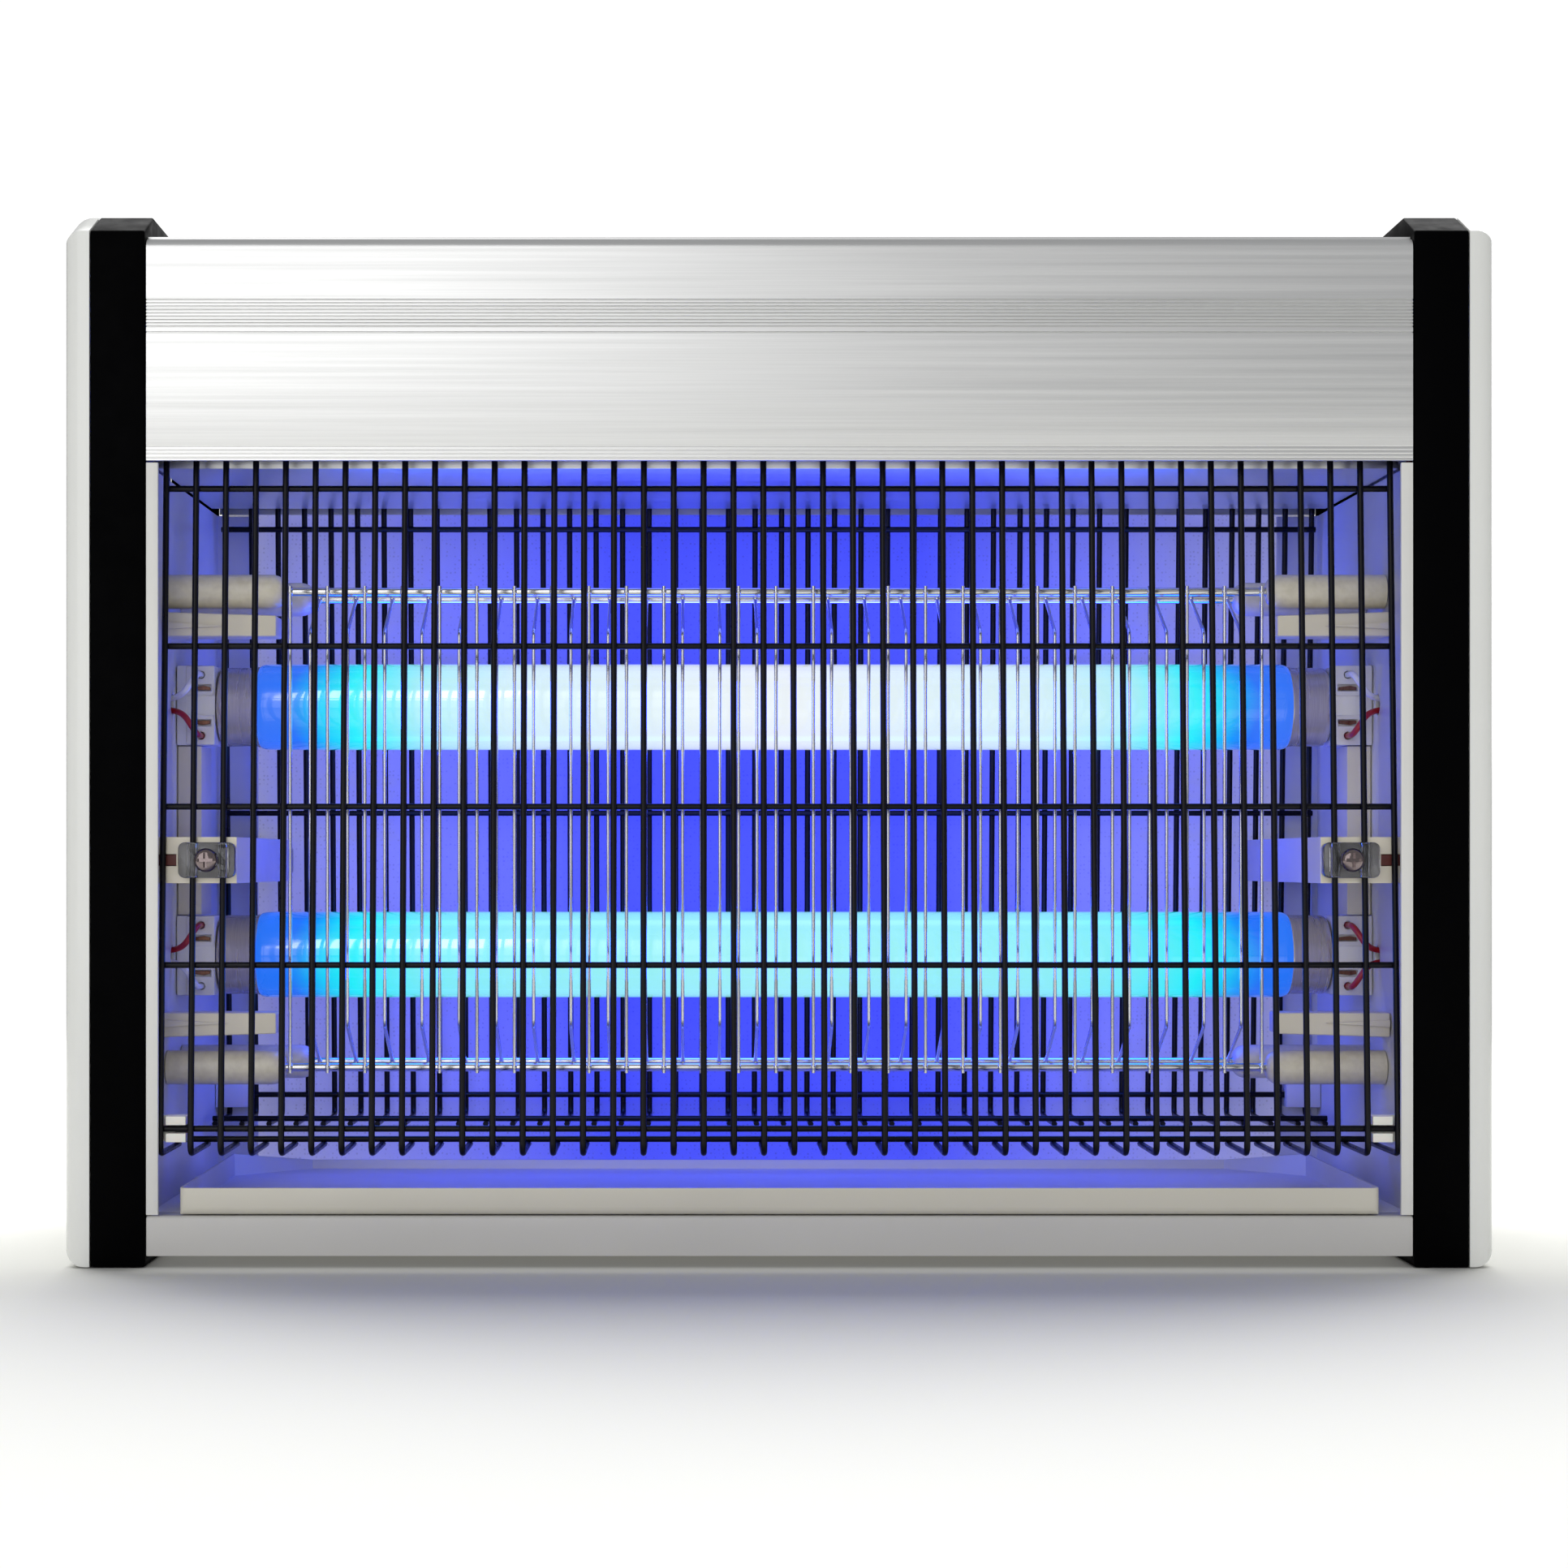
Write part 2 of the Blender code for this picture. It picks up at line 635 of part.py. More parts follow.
def guard_y(height):
    """Depth of a guard's upright wires at a height, for the front guard."""
    share = (height - GUARD_BOTTOM) / (HEADER_BOTTOM - GUARD_BOTTOM)
    return FRONT_Y + GUARD_SETBACK_LOW + share * (GUARD_SETBACK_HIGH - GUARD_SETBACK_LOW)


def guard(face, sign):
    uprights = []
    for index in range(GUARD_WIRES):
        x = index * GUARD_PITCH - GUARD_HALF_WIDTH
        y_low = guard_y(GUARD_BOTTOM)
        route = [(x, sign * guard_y(GUARD_TOP), GUARD_TOP), (x, sign * y_low, GUARD_BOTTOM),
                 (x, sign * (y_low + GUARD_HOOK), GUARD_BOTTOM)]
        uprights.append(wire_curve(f"{face}_upright_{index}", filleted(route, GUARD_BEND, 1), GUARD_WIRE,
                                   resolution=0))
    ends = GUARD_HALF_WIDTH + GUARD_WIRE / 2
    bars = []
    levels = [(guard_y(height) + BAR_OFFSET, height) for height in GUARD_BAR_HEIGHTS]
    levels.append((guard_y(GUARD_BOTTOM) + GUARD_HOOK - GUARD_WIRE, GUARD_BOTTOM + BAR_OFFSET))
    for index, (y, height) in enumerate(levels):
        route = [(-ends, sign * y, height), (ends, sign * y, height)]
        bars.append(wire_curve(f"{face}_bar_{index}", route, GUARD_WIRE, resolution=0))
    frame = joined(f"{face}_guard", uprights, BLACK_WIRE)
    return fuse(frame, joined(f"{face}_guard_bars", bars))


def grid_rods(face, setback):
    rod_half = INSIDE_X - FRONT_SLEEVE_LENGTH + ROD_INSERTION
    y = FRONT_Y + setback
    rods = [cylinder(f"{face}_rod_{index}", ROD_DIAMETER, 2 * rod_half, (0, y, height), AXIS_X, sides=8)
            for index, height in enumerate(ROD_HEIGHTS)]
    return joined(f"{face}_live_grid", rods, STEEL)


def front_grid():
    low, high = ROD_HEIGHTS
    reach = ROD_DIAMETER / 2 + WIRE_END_OVERHANG
    y = FRONT_Y + FRONT_ROD_SETBACK - ROD_DIAMETER / 2
    wires = []
    for index in range(FRONT_GRID_WIRES):
        x = (index - (FRONT_GRID_WIRES - 1) / 2) * GRID_PITCH
        route = [(x, y, low - reach), (x, y, high + reach)]
        wires.append(wire_curve(f"front_grid_wire_{index}", route, GRID_WIRE, resolution=0))
    return fuse(grid_rods("front", FRONT_ROD_SETBACK), joined("front_grid_wires", wires))


def rear_grid():
    low, high = ROD_HEIGHTS
    bend_low, bend_high = REAR_WIRE_LEVELS
    y_rod = FRONT_Y + REAR_ROD_SETBACK - ROD_DIAMETER / 4
    y_wire = FRONT_Y + REAR_WIRE_SETBACK
    wires = []
    for index in range(FRONT_GRID_WIRES - 1):
        x = (index - (FRONT_GRID_WIRES - 2) / 2) * GRID_PITCH
        route = [(x, y_rod, low), (x, y_wire, bend_low), (x, y_wire, bend_high), (x, y_rod, high)]
        wires.append(wire_curve(f"rear_grid_wire_{index}", route, GRID_WIRE, resolution=0))
    return fuse(grid_rods("rear", REAR_ROD_SETBACK), joined("rear_grid_wires", wires))


def insulator_sleeve(name, length, sign, y, height):
    """A closed sleeve; its blind bore takes a rod end, and its rounded nose faces the middle."""
    radius = SLEEVE_DIAMETER / 2
    bore = ROD_DIAMETER / 2 + GAP
    rod_end = ROD_INSERTION + length - FRONT_SLEEVE_LENGTH
    profile = [(0, length), (radius, length), (radius, SLEEVE_ROUND),
               (radius - SLEEVE_ROUND * 0.3, SLEEVE_ROUND * 0.3), (radius - SLEEVE_ROUND, 0),
               (bore, 0), (bore, rod_end + GAP), (0, rod_end + GAP)]
    rotation = AXIS_X if sign > 0 else AXIS_MINUS_X
    sleeve = turned(name, profile, (sign * (INSIDE_X - length), y, height), rotation, CERAMIC)
    return smooth_round(sleeve)


def sleeves():
    rows = (("front", FRONT_ROD_SETBACK, FRONT_SLEEVE_LENGTH),
            ("rear", REAR_ROD_SETBACK, REAR_SLEEVE_LENGTH))
    for side, sign in SIDES:
        for level, height in zip(("lower", "upper"), ROD_HEIGHTS):
            for row, setback, length in rows:
                insulator_sleeve(f"{side}_{level}_{row}_sleeve", length, sign, FRONT_Y + setback, height)


def insulator_rib(name, sign, height, up):
    """A tapered flat rib on the wall, with a short ridge along its root; up is 1 or -1."""
    root = INSIDE_X
    tip = INSIDE_X - RIB_LENGTH
    base = -RIB_TIP_HEIGHT / 2
    outline = [(sign * tip, base), (sign * root, base), (sign * root, base + RIB_ROOT_HEIGHT),
               (sign * tip, base + RIB_TIP_HEIGHT)]
    outline = [(x, up * z) for x, z in outline]
    y = FRONT_Y + RIB_SETBACK
    rib = prism(name, [outline], RIB_THICKNESS, (0, y, height), ACROSS_Y, BEIGE)
    ridge_x = sign * (root - RIB_RIDGE_LENGTH / 2 - GAP)
    ridge_size = (RIB_RIDGE_LENGTH, 2 * RIB_RIDGE, RIB_RIDGE)
    ridge = box(f"{name}_ridge", ridge_size, (ridge_x, y - RIB_THICKNESS / 2, height), None)
    return fuse(rib, ridge)


def insulator_ribs():
    for side, sign in SIDES:
        for (level, up), height in zip((("lower", -1), ("upper", 1)), RIB_HEIGHTS):
            insulator_rib(f"{side}_{level}_insulator_rib", sign, height, up)


# ---------------------------------------------------------------- lamps, holders and leads

def lamp(level, height):
    """A tube with its two end caps and four pins, turned about its own axis."""
    end = LAMP_LENGTH / 2
    glass = LAMP_DIAMETER / 2
    cap = LAMP_CAP_DIAMETER / 2
    neck = end - LAMP_CAP_LENGTH
    shoulder = 2 * (glass - cap)
    profile = [(0, end), (cap, end), (cap, neck), (glass, neck - shoulder)]
    profile += [(radius, -z) for radius, z in reversed(profile)]
    tube = turned(f"{level}_lamp", profile, (0, LAMP_Y, height), AXIS_X, GLASS, sides=20)
    sink = 1 * MM
    pin_middle = end + (PIN_LENGTH - sink) / 2
    pins = [cylinder(f"{level}_pin_{index}", PIN_DIAMETER, PIN_LENGTH + sink,
                     (along * pin_middle, LAMP_Y, height + offset * PIN_SPACING / 2), AXIS_X, sides=8)
            for index, (along, offset) in enumerate(((-1, -1), (-1, 1), (1, -1), (1, 1)))]
    bpy.context.view_layer.update()
    return smooth_round(fuse(tube, joined(f"{level}_lamp_pins", pins)))


def lampholder(side, sign, level, height):
    name = f"{side}_{level}_lampholder"
    thickness = INSIDE_X - HOLDER_FACE_X
    middle = sign * (HOLDER_FACE_X + thickness / 2)
    half = HOLDER_HEIGHT / 2
    front = LAMP_Y - HOLDER_FRONT
    back_centre = LAMP_Y + HOLDER_BACK - half
    outline = [(front, -half)] + arc((back_centre, 0), half, -90, 90, 8) + [(front, half)]
    holder = prism(name, [outline], thickness, (middle, 0, height), ACROSS_X, HOLDER)
    well = PIN_LENGTH + ROTOR_CLEARANCE
    well_diameter = PIN_SPACING + PIN_DIAMETER + 2 * ROTOR_CLEARANCE
    rotor = cylinder(f"{name}_rotor_well", well_diameter, 2 * well,
                     (sign * HOLDER_FACE_X, LAMP_Y, height), AXIS_X, sides=16)
    slot_reach = 2 * HOLDER_BACK
    slot = box(f"{name}_entry", (2 * well, slot_reach, PIN_DIAMETER + ROTOR_CLEARANCE),
               (sign * HOLDER_FACE_X, LAMP_Y + slot_reach / 2, height))
    cut(holder, rotor, slot)
    terminal_x = sign * (INSIDE_X - TERMINAL_FROM_WALL)
    for end, offset in (("low", -1), ("high", 1)):
        cut(holder, cylinder(f"{name}_{end}_terminal", LEAD_DIAMETER + HOLE_CLEARANCE, 2 * TERMINAL_DEPTH,
                             (terminal_x, front, height + offset * TERMINAL_OFFSET), AXIS_Y, sides=8))
        slot_x, slot_y, slot_z = CONTACT_SLOT
        cut(holder, box(f"{name}_{end}_contact", (slot_x, 2 * slot_y, slot_z),
                        (terminal_x, front, height + offset * CONTACT_OFFSET)))
    return holder


def lamp_lead(name, sign, index, height, offset, terminal_x, material):
    """From a lampholder's terminal, through the wall, up behind it and along the header."""
    lane_x = WALL_X + PANEL_SHEET + LANE_START + index * LEAD_SPACING
    lane_z = HEADER_BOTTOM + HEADER_LANE + index * LEAD_SPACING
    start_x = INSIDE_X - TERMINAL_FROM_WALL
    start_z = height + offset * TERMINAL_OFFSET
    front = LAMP_Y - HOLDER_FRONT
    wall_z = height + offset * LEAD_PAIR / 2
    ballast_face = ballast_y() - BALLAST_SIZE[1] / 2 - GAP
    route = [(sign * start_x, front + TERMINAL_DEPTH - GAP, start_z),
             (sign * start_x, front - LEAD_LOOP, start_z),
             (sign * (start_x + LEAD_LOOP / 2), front - LEAD_LOOP, wall_z),
             (sign * INSIDE_X, LEAD_Y, wall_z),
             (sign * lane_x, LEAD_Y, wall_z), (sign * lane_x, LEAD_Y, lane_z),
             (terminal_x, LEAD_Y, lane_z), (terminal_x, ballast_face, lane_z)]
    points = filleted(route, LEAD_BEND, LEAD_BEND_POINTS)
    return wire_curve(name, points, LEAD_DIAMETER, material, resolution=0)


def lamp_leads():
    colours = {"left": (WHITE_LEAD, RED_LEAD, RED_LEAD, WHITE_LEAD),
               "right": (WHITE_LEAD, RED_LEAD, RED_LEAD, RED_LEAD)}
    for side, sign in SIDES:
        ends = [(level, offset) for level in ("upper", "lower") for offset in (1, -1)]
        for index, (level, offset) in enumerate(ends):
            end = {1: "top", -1: "bottom"}[offset]
            inboard = BALLAST_SIZE[0] / 2 - (index + 1) * BALLAST_TERMINAL_PITCH
            terminal_x = BALLAST_X + sign * inboard
            lamp_lead(f"{side}_{level}_{end}_lead", sign, index, LAMP_HEIGHTS[level], offset,
                      terminal_x, colours[side][index])


def lamps():
    for level, height in LAMP_HEIGHTS.items():
        lamp(level, height)
        for side, sign in SIDES:
            lampholder(side, sign, level, height)


# ---------------------------------------------------------------- brackets, clips and screws

def bracket_end_y():
    """Depth of a bracket's front end, just behind the guard wires that its clip holds."""
    return guard_y(BRACKET_HEIGHT) + GUARD_WIRE / 2 + BRACKET_GUARD_GAP


def clip_x():
    """The clip sits between the second and third guard wires from the end."""
    return GUARD_HALF_WIDTH - 1.5 * GUARD_PITCH


def mid_bracket(side, sign):
    name = f"{side}_mid_bracket"
    half_depth = -bracket_end_y()
    x = sorted((sign * (INSIDE_X - BRACKET_REACH), sign * INSIDE_X))
    low = BRACKET_HEIGHT - BRACKET_THICKNESS / 2
    bar = box_between(name, (x[0], -half_depth, low), (x[1], half_depth, low + BRACKET_THICKNESS), BEIGE)
    half_holder = HOLDER_HEIGHT / 2 + GAP
    skin = 0.1 * MM
    x = sorted((sign * (INSIDE_X - COLUMN_WIDTH), sign * (INSIDE_X - skin)))
    column = box_between(f"{name}_column",
                         (x[0], LAMP_Y - COLUMN_DEPTH / 2, LAMP_HEIGHTS["lower"] + half_holder),
                         (x[1], LAMP_Y + COLUMN_DEPTH / 2, LAMP_HEIGHTS["upper"] - half_holder))
    fuse(bar, column)
    slot_x, slot_y, slot_z = NUT_SLOT
    for face, facing in FACES:
        end = facing * bracket_end_y()
        cut(bar, box(f"{name}_{face}_nut_slot", (2 * slot_x, 2 * slot_y, slot_z),
                     (sign * INSIDE_X, end, BRACKET_HEIGHT)),
            cylinder(f"{name}_{face}_screw_hole", SCREW_SHANK + HOLE_CLEARANCE, 2 * SCREW_LENGTH,
                     (sign * clip_x(), end, BRACKET_HEIGHT), AXIS_Y, sides=8))
    return bar


def guard_clip(side, sign, face, facing):
    """A clear block that traps two guard wires against the bracket end."""
    name = f"{side}_{face}_guard_clip"
    width, thickness, height = CLIP_SIZE
    half_width = width / 2
    half_height = height / 2
    r = CLIP_CORNER
    back = bracket_end_y() - GAP
    middle = facing * (back - thickness / 2)
    outline = []
    for u, v, start in ((1, -1, -90), (1, 1, 0), (-1, 1, 90), (-1, -1, 180)):
        outline += arc((u * (half_width - r), v * (half_height - r)), r, start, start + 90, 2)
    centre = (sign * clip_x(), middle, BRACKET_HEIGHT)
    clip = prism(name, [outline], thickness, centre, ACROSS_Y, CLEAR)
    depth = back - guard_y(BRACKET_HEIGHT) + GUARD_WIRE / 2 + BRACKET_GUARD_GAP
    for end, offset in (("inner", -1), ("outer", 1)):
        x = sign * (clip_x() + offset * GUARD_PITCH / 2)
        cut(clip, box(f"{name}_{end}_groove", (CLIP_GROOVE, 2 * depth, 2 * height),
                      (x, facing * back, BRACKET_HEIGHT)))
    cut(clip, cylinder(f"{name}_hole", SCREW_SHANK + HOLE_CLEARANCE, 3 * thickness, centre, AXIS_Y, sides=8))
    return clip


def clip_screw(side, sign, face, facing):
    """A pan-head screw: the head lies on the clip and the shank reaches into the bracket."""
    head = SCREW_HEAD / 2
    shank = SCREW_SHANK / 2
    under = bracket_end_y() - GAP - CLIP_SIZE[1] - GAP
    tip = SCREW_LENGTH
    dome = SCREW_HEAD_HEIGHT
    profile = [(0, dome), (head * 0.62, dome * 0.88), (head, dome * 0.4), (head, 0), (shank, 0),
               (shank, -tip), (0, -tip)]
    rotation = ACROSS_Y if facing > 0 else (-math.pi / 2, 0, 0)
    centre = (sign * clip_x(), facing * under, BRACKET_HEIGHT)
    screw = turned(f"{side}_{face}_clip_screw", profile, centre, rotation, STEEL, sides=10)
    long, wide, deep = SCREW_SLOT
    slot_y = facing * (under - dome)
    for name, size in (("flat", (long, 2 * deep, wide)), ("cross", (wide, 2 * deep, long))):
        cut(screw, box(f"{side}_{face}_{name}_recess", size, (centre[0], slot_y, BRACKET_HEIGHT)))
    return smooth_round(screw)


def snap_clip(side, sign, face, facing):
    """Two jaws and a back that hold the lowest guard bar to the wall."""
    name = f"{side}_{face}_snap_clip"
    height = GUARD_BAR_HEIGHTS[0]
    bar_y = guard_y(height) + BAR_OFFSET
    clear = GUARD_WIRE / 2 + GAP
    jaw_low = height - clear - SNAP_JAW
    jaw_high = height + clear + SNAP_JAW
    nose_x = GUARD_HALF_WIDTH - GUARD_PITCH + GUARD_WIRE / 2 + GAP
    jaw_x = sorted((sign * nose_x, sign * (nose_x + SNAP_INSET)))
    base_x = sorted((sign * nose_x, sign * INSIDE_X))
    base_y = sorted((facing * (bar_y + clear), facing * (bar_y + clear + SNAP_DEPTH)))
    nose_y = sorted((facing * (bar_y - SNAP_NOSE), facing * (bar_y + clear + SNAP_DEPTH / 2)))
    base = box_between(name, (base_x[0], base_y[0], jaw_low), (base_x[1], base_y[1], jaw_high), NYLON)
    skin = 0.1 * MM
    spans = (("upper", height + clear, jaw_high - skin), ("lower", jaw_low + skin, height - clear))
    for jaw, low, high in spans:
        fuse(base, box_between(f"{name}_{jaw}_jaw", (jaw_x[0] + skin, nose_y[0], low),
                               (jaw_x[1] - skin, nose_y[1], high)))
    return base


def guard_fixings():
    for side, sign in SIDES:
        mid_bracket(side, sign)
        for face, facing in FACES:
            guard_clip(side, sign, face, facing)
            clip_screw(side, sign, face, facing)
            snap_clip(side, sign, face, facing)


# ---------------------------------------------------------------- header contents

def floor_height():
    return HEADER_BOTTOM + PLATE_SHEET + GAP


def ballast_y():
    return LEAD_Y + BALLAST_LEAD_CLEARANCE + BALLAST_SIZE[1] / 2


def high_voltage_transformer():
    floor = floor_height()
    core_z = floor + CORE_SIZE[2] / 2
    y = LEAD_Y + TRANSFORMER_LEAD_CLEARANCE + COIL_SIZE[1] / 2
    core = box("high_voltage_transformer", CORE_SIZE, (CORE_X, y, core_z), LAMINATION)
    coil = box("transformer_coil", COIL_SIZE, (CORE_X, y, core_z))
    skin = 0.1 * MM
    foot_x, foot_y, foot_z = CORE_FOOT
    foot = box("transformer_foot", (foot_x, foot_y - skin, foot_z),
               (CORE_X, y, floor + foot_z / 2))
    return fuse(core, coil, foot)


def lamp_ballast():
    floor = floor_height()
    tab_x, tab_y, tab_z = BALLAST_TAB
    case = box("lamp_ballast", BALLAST_SIZE, (BALLAST_X, ballast_y(), floor + BALLAST_SIZE[2] / 2),
               BALLAST_CASE)
    tabs = box("ballast_tabs", BALLAST_TAB, (BALLAST_X, ballast_y(), floor + tab_z / 2))
    return fuse(case, tabs)


# ---------------------------------------------------------------- switch and cord inlet

def switch_housing(cap):
    depth, width, height = SWITCH_SIZE
    face_x = CAP_OUTER_X - GAP
    centre = (face_x - depth / 2, SWITCH_Y, SWITCH_HEIGHT)
    hole = (4 * CAP_WALL, width + HOLE_CLEARANCE, height + HOLE_CLEARANCE)
    cut(cap, box("switch_cutout", hole, (CAP_OUTER_X, SWITCH_Y, SWITCH_HEIGHT)))
    housing = box("switch_housing", SWITCH_SIZE, centre, BLACK_ABS)
    well = (2 * SWITCH_WELL, width - 2 * SWITCH_WALL, height - 2 * SWITCH_WALL)
    return cut(housing, box("switch_well", well, (face_x, SWITCH_Y, SWITCH_HEIGHT)))


def switch_rocker():
    """A dished rocker that tips about a cross axis; its origin is on that axis."""
    width = SWITCH_SIZE[1] - 2 * SWITCH_WALL - 2 * GAP
    half = SWITCH_SIZE[2] / 2 - SWITCH_WALL - ROCKER_TIP_CLEARANCE
    pivot_x = CAP_OUTER_X - ROCKER_PIVOT_DEPTH
    top = ROCKER_PIVOT_DEPTH - ROCKER_DISH
    low = top - ROCKER_DEPTH
    outline = [(low, -half * 0.6), (top, -half), (top - ROCKER_DISH, 0), (top, half), (low, half * 0.6)]
    return prism("switch_rocker", [outline], width, (pivot_x, SWITCH_Y, SWITCH_HEIGHT), ACROSS_Y,
                 BLACK_ABS)


def cord_inlet(cap):
    """A flush rubber ring through the cap's side wall, where a supply cord would enter."""
    cut(cap, cylinder("cord_hole", INLET_HOLE, 4 * CAP_WALL, (CAP_OUTER_X, INLET_Y, INLET_HEIGHT), AXIS_X))
    face = CAP_OUTER_X - GAP
    shoulder = CAP_WALL
    neck = INLET_HOLE / 2 - GAP
    bore = INLET_BORE / 2
    flange = INLET_FLANGE / 2
    bottom = -shoulder - INLET_FLANGE_THICKNESS
    profile = [(bore, 0), (neck, 0), (neck, -shoulder), (flange, -shoulder), (flange, bottom),
               (bore, bottom)]
    ring = turned("cord_inlet_grommet", profile, (face, INLET_Y, INLET_HEIGHT), AXIS_X, RUBBER,
                  closed=True)
    return smooth_round(ring)


# ---------------------------------------------------------------- assembly

def build():
    caps = {}
    for side, sign in SIDES:
        caps[side] = end_cap(side, sign)
        black_trim(side, sign)
        side_panel(side, sign)
    header_housing()
    header_base_plate()
    for face, facing in FACES:
        base_rail(face, facing)
        guard(face, facing)
    collection_tray()
    front_grid()
    rear_grid()
    sleeves()
    insulator_ribs()
    lamps()
    lamp_leads()
    guard_fixings()
    high_voltage_transformer()
    lamp_ballast()
    switch_housing(caps["right"])
    switch_rocker()
    cord_inlet(caps["right"])


build()
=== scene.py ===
# %% [markdown]
# # Electric insect killer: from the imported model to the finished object
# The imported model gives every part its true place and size, so it is loaded first and never
# moved. What follows gives each part its finished shape and surface. Parts whose shape is
# already right get softened edges; wires, lamps, screws and mouldings are modelled again.

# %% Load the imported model
import math
import bmesh
import bpy
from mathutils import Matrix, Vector


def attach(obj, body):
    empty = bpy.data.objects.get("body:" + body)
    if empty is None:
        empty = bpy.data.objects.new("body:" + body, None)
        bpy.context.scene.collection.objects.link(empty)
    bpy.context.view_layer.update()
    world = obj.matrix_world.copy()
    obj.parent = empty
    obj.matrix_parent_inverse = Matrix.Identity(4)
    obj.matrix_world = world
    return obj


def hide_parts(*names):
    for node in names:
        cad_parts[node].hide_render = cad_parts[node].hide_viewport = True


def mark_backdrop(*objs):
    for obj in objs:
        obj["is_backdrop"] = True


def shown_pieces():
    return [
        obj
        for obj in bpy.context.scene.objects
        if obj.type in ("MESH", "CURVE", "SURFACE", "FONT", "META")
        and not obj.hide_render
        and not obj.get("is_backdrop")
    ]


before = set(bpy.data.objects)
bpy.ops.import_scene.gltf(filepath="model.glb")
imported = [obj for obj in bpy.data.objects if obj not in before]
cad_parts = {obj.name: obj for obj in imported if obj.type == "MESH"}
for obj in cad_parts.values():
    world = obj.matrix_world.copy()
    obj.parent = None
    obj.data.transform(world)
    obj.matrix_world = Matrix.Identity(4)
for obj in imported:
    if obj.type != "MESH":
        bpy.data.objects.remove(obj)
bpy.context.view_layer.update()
MM = 0.001

# %% [markdown]
# ## The camera
# A level camera in front of the body keeps verticals upright. It is not aimed at the middle of
# the body: like a shift lens, it looks straight ahead and slides its picture sideways and up.

# %% Camera
bpy.ops.object.camera_add(location=(-0.025, -0.880, 0.113), rotation=(math.pi / 2, 0, 0))
camera = bpy.context.object
camera.data.sensor_width = 36
camera.data.lens = 67.12
camera.data.shift_x = 0.0600
camera.data.shift_y = 0.0497
camera.data.clip_start = 0.01
bpy.context.scene.camera = camera
bpy.context.scene.view_settings.view_transform = "Standard"
print("camera looks along +Y from", tuple(round(v, 3) for v in camera.location))

# %% [markdown]
# ## Small helpers for modelling
# An operator works on whatever is selected, and loading leaves every part selected. So each
# step first selects just one object, and in edit mode it picks faces by their place or normal.

# %% Selecting, picking and applying
def select_only(*items):
    if bpy.context.object and bpy.context.object.mode != "OBJECT":
        bpy.ops.object.mode_set(mode="OBJECT")
    bpy.ops.object.select_all(action="DESELECT")
    for item in items:
        item.select_set(True)
    bpy.context.view_layer.objects.active = items[-1]


def edit(item):
    select_only(item)
    bpy.ops.object.mode_set(mode="EDIT")
    bpy.ops.mesh.select_all(action="SELECT")


def leave_edit():
    bpy.ops.object.mode_set(mode="OBJECT")


def pick(item, kind, test):
    """In edit mode, selects the faces or edges that pass a test."""
    bpy.ops.mesh.select_mode(type=kind)
    bpy.ops.mesh.select_all(action="DESELECT")
    mesh = bmesh.from_edit_mesh(item.data)
    for part in mesh.faces if kind == "FACE" else mesh.edges:
        part.select_set(bool(test(part)))
    bmesh.update_edit_mesh(item.data)


def modify(item, kind, **settings):
    """Adds a modifier, sets it and applies it."""
    select_only(item)
    change = item.modifiers.new(kind.lower(), kind)
    for key, value in settings.items():
        setattr(change, key, value)
    bpy.ops.object.modifier_apply(modifier=change.name)


def weld(item, flat=True):
    """Merges doubles, joins coplanar faces and turns every face outwards."""
    edit(item)
    bpy.ops.mesh.remove_doubles(threshold=2e-6)
    if flat:
        bpy.ops.mesh.dissolve_limited(angle_limit=math.radians(0.6))
    bpy.ops.mesh.select_all(action="SELECT")
    bpy.ops.mesh.normals_make_consistent(inside=False)
    leave_edit()


def bevelled(item, width, segments=2, angle=30):
    modify(item, "BEVEL", width=width, segments=segments, limit_method="ANGLE",
           angle_limit=math.radians(angle))


def smooth(item, angle=32):
    select_only(item)
    bpy.ops.object.shade_smooth_by_angle(angle=math.radians(angle))


def settle(item):
    """Bakes an object's place, turn and size into its mesh."""
    select_only(item)
    bpy.ops.object.transform_apply(location=True, rotation=True, scale=True)


def join(name, items):
    select_only(*items)
    if len(items) > 1:
        bpy.ops.object.join()
    joined = bpy.context.object
    joined.name = name
    return joined


def copy_of(item, name):
    twin = item.copy()
    twin.data = item.data.copy()
    twin.name = name
    for key in list(twin.keys()):
        del twin[key]
    twin.parent = None
    bpy.context.scene.collection.objects.link(twin)
    return twin


def mirrored(item, name, axis):
    """A copy turned over about the middle plane of an axis, with its faces outwards again."""
    twin = copy_of(item, name)
    twin.scale[axis] = -1
    settle(twin)
    weld(twin, flat=False)
    return twin


print("helpers ready")

# %% [markdown]
# A wire or a flat section starts as a drawn line. A poly curve through points becomes a round
# wire by its bevel depth, or a solid bar when its outline is filled and pushed along one axis.

# %% Drawing wires and sections
def drawn(name, points, closed):
    bpy.ops.curve.primitive_nurbs_path_add(location=(0, 0, 0))
    item = bpy.context.object
    item.name = name
    line = item.data
    line.splines.clear()
    line.dimensions = "3D"
    spline = line.splines.new("POLY")
    spline.points.add(len(points) - 1)
    for point, at in zip(spline.points, points):
        point.co = (*at, 1)
    spline.use_cyclic_u = closed
    return item


def to_mesh(item):
    select_only(item)
    bpy.ops.object.convert(target="MESH")
    return bpy.context.object


def wire(name, points, diameter, resolution=2):
    """A round wire along points; resolution 2 gives it eight sides."""
    item = drawn(name, points, False)
    item.data.bevel_depth = diameter / 2
    item.data.bevel_resolution = resolution
    item.data.use_fill_caps = True
    item = to_mesh(item)
    weld(item, flat=False)
    smooth(item, 50)
    return item


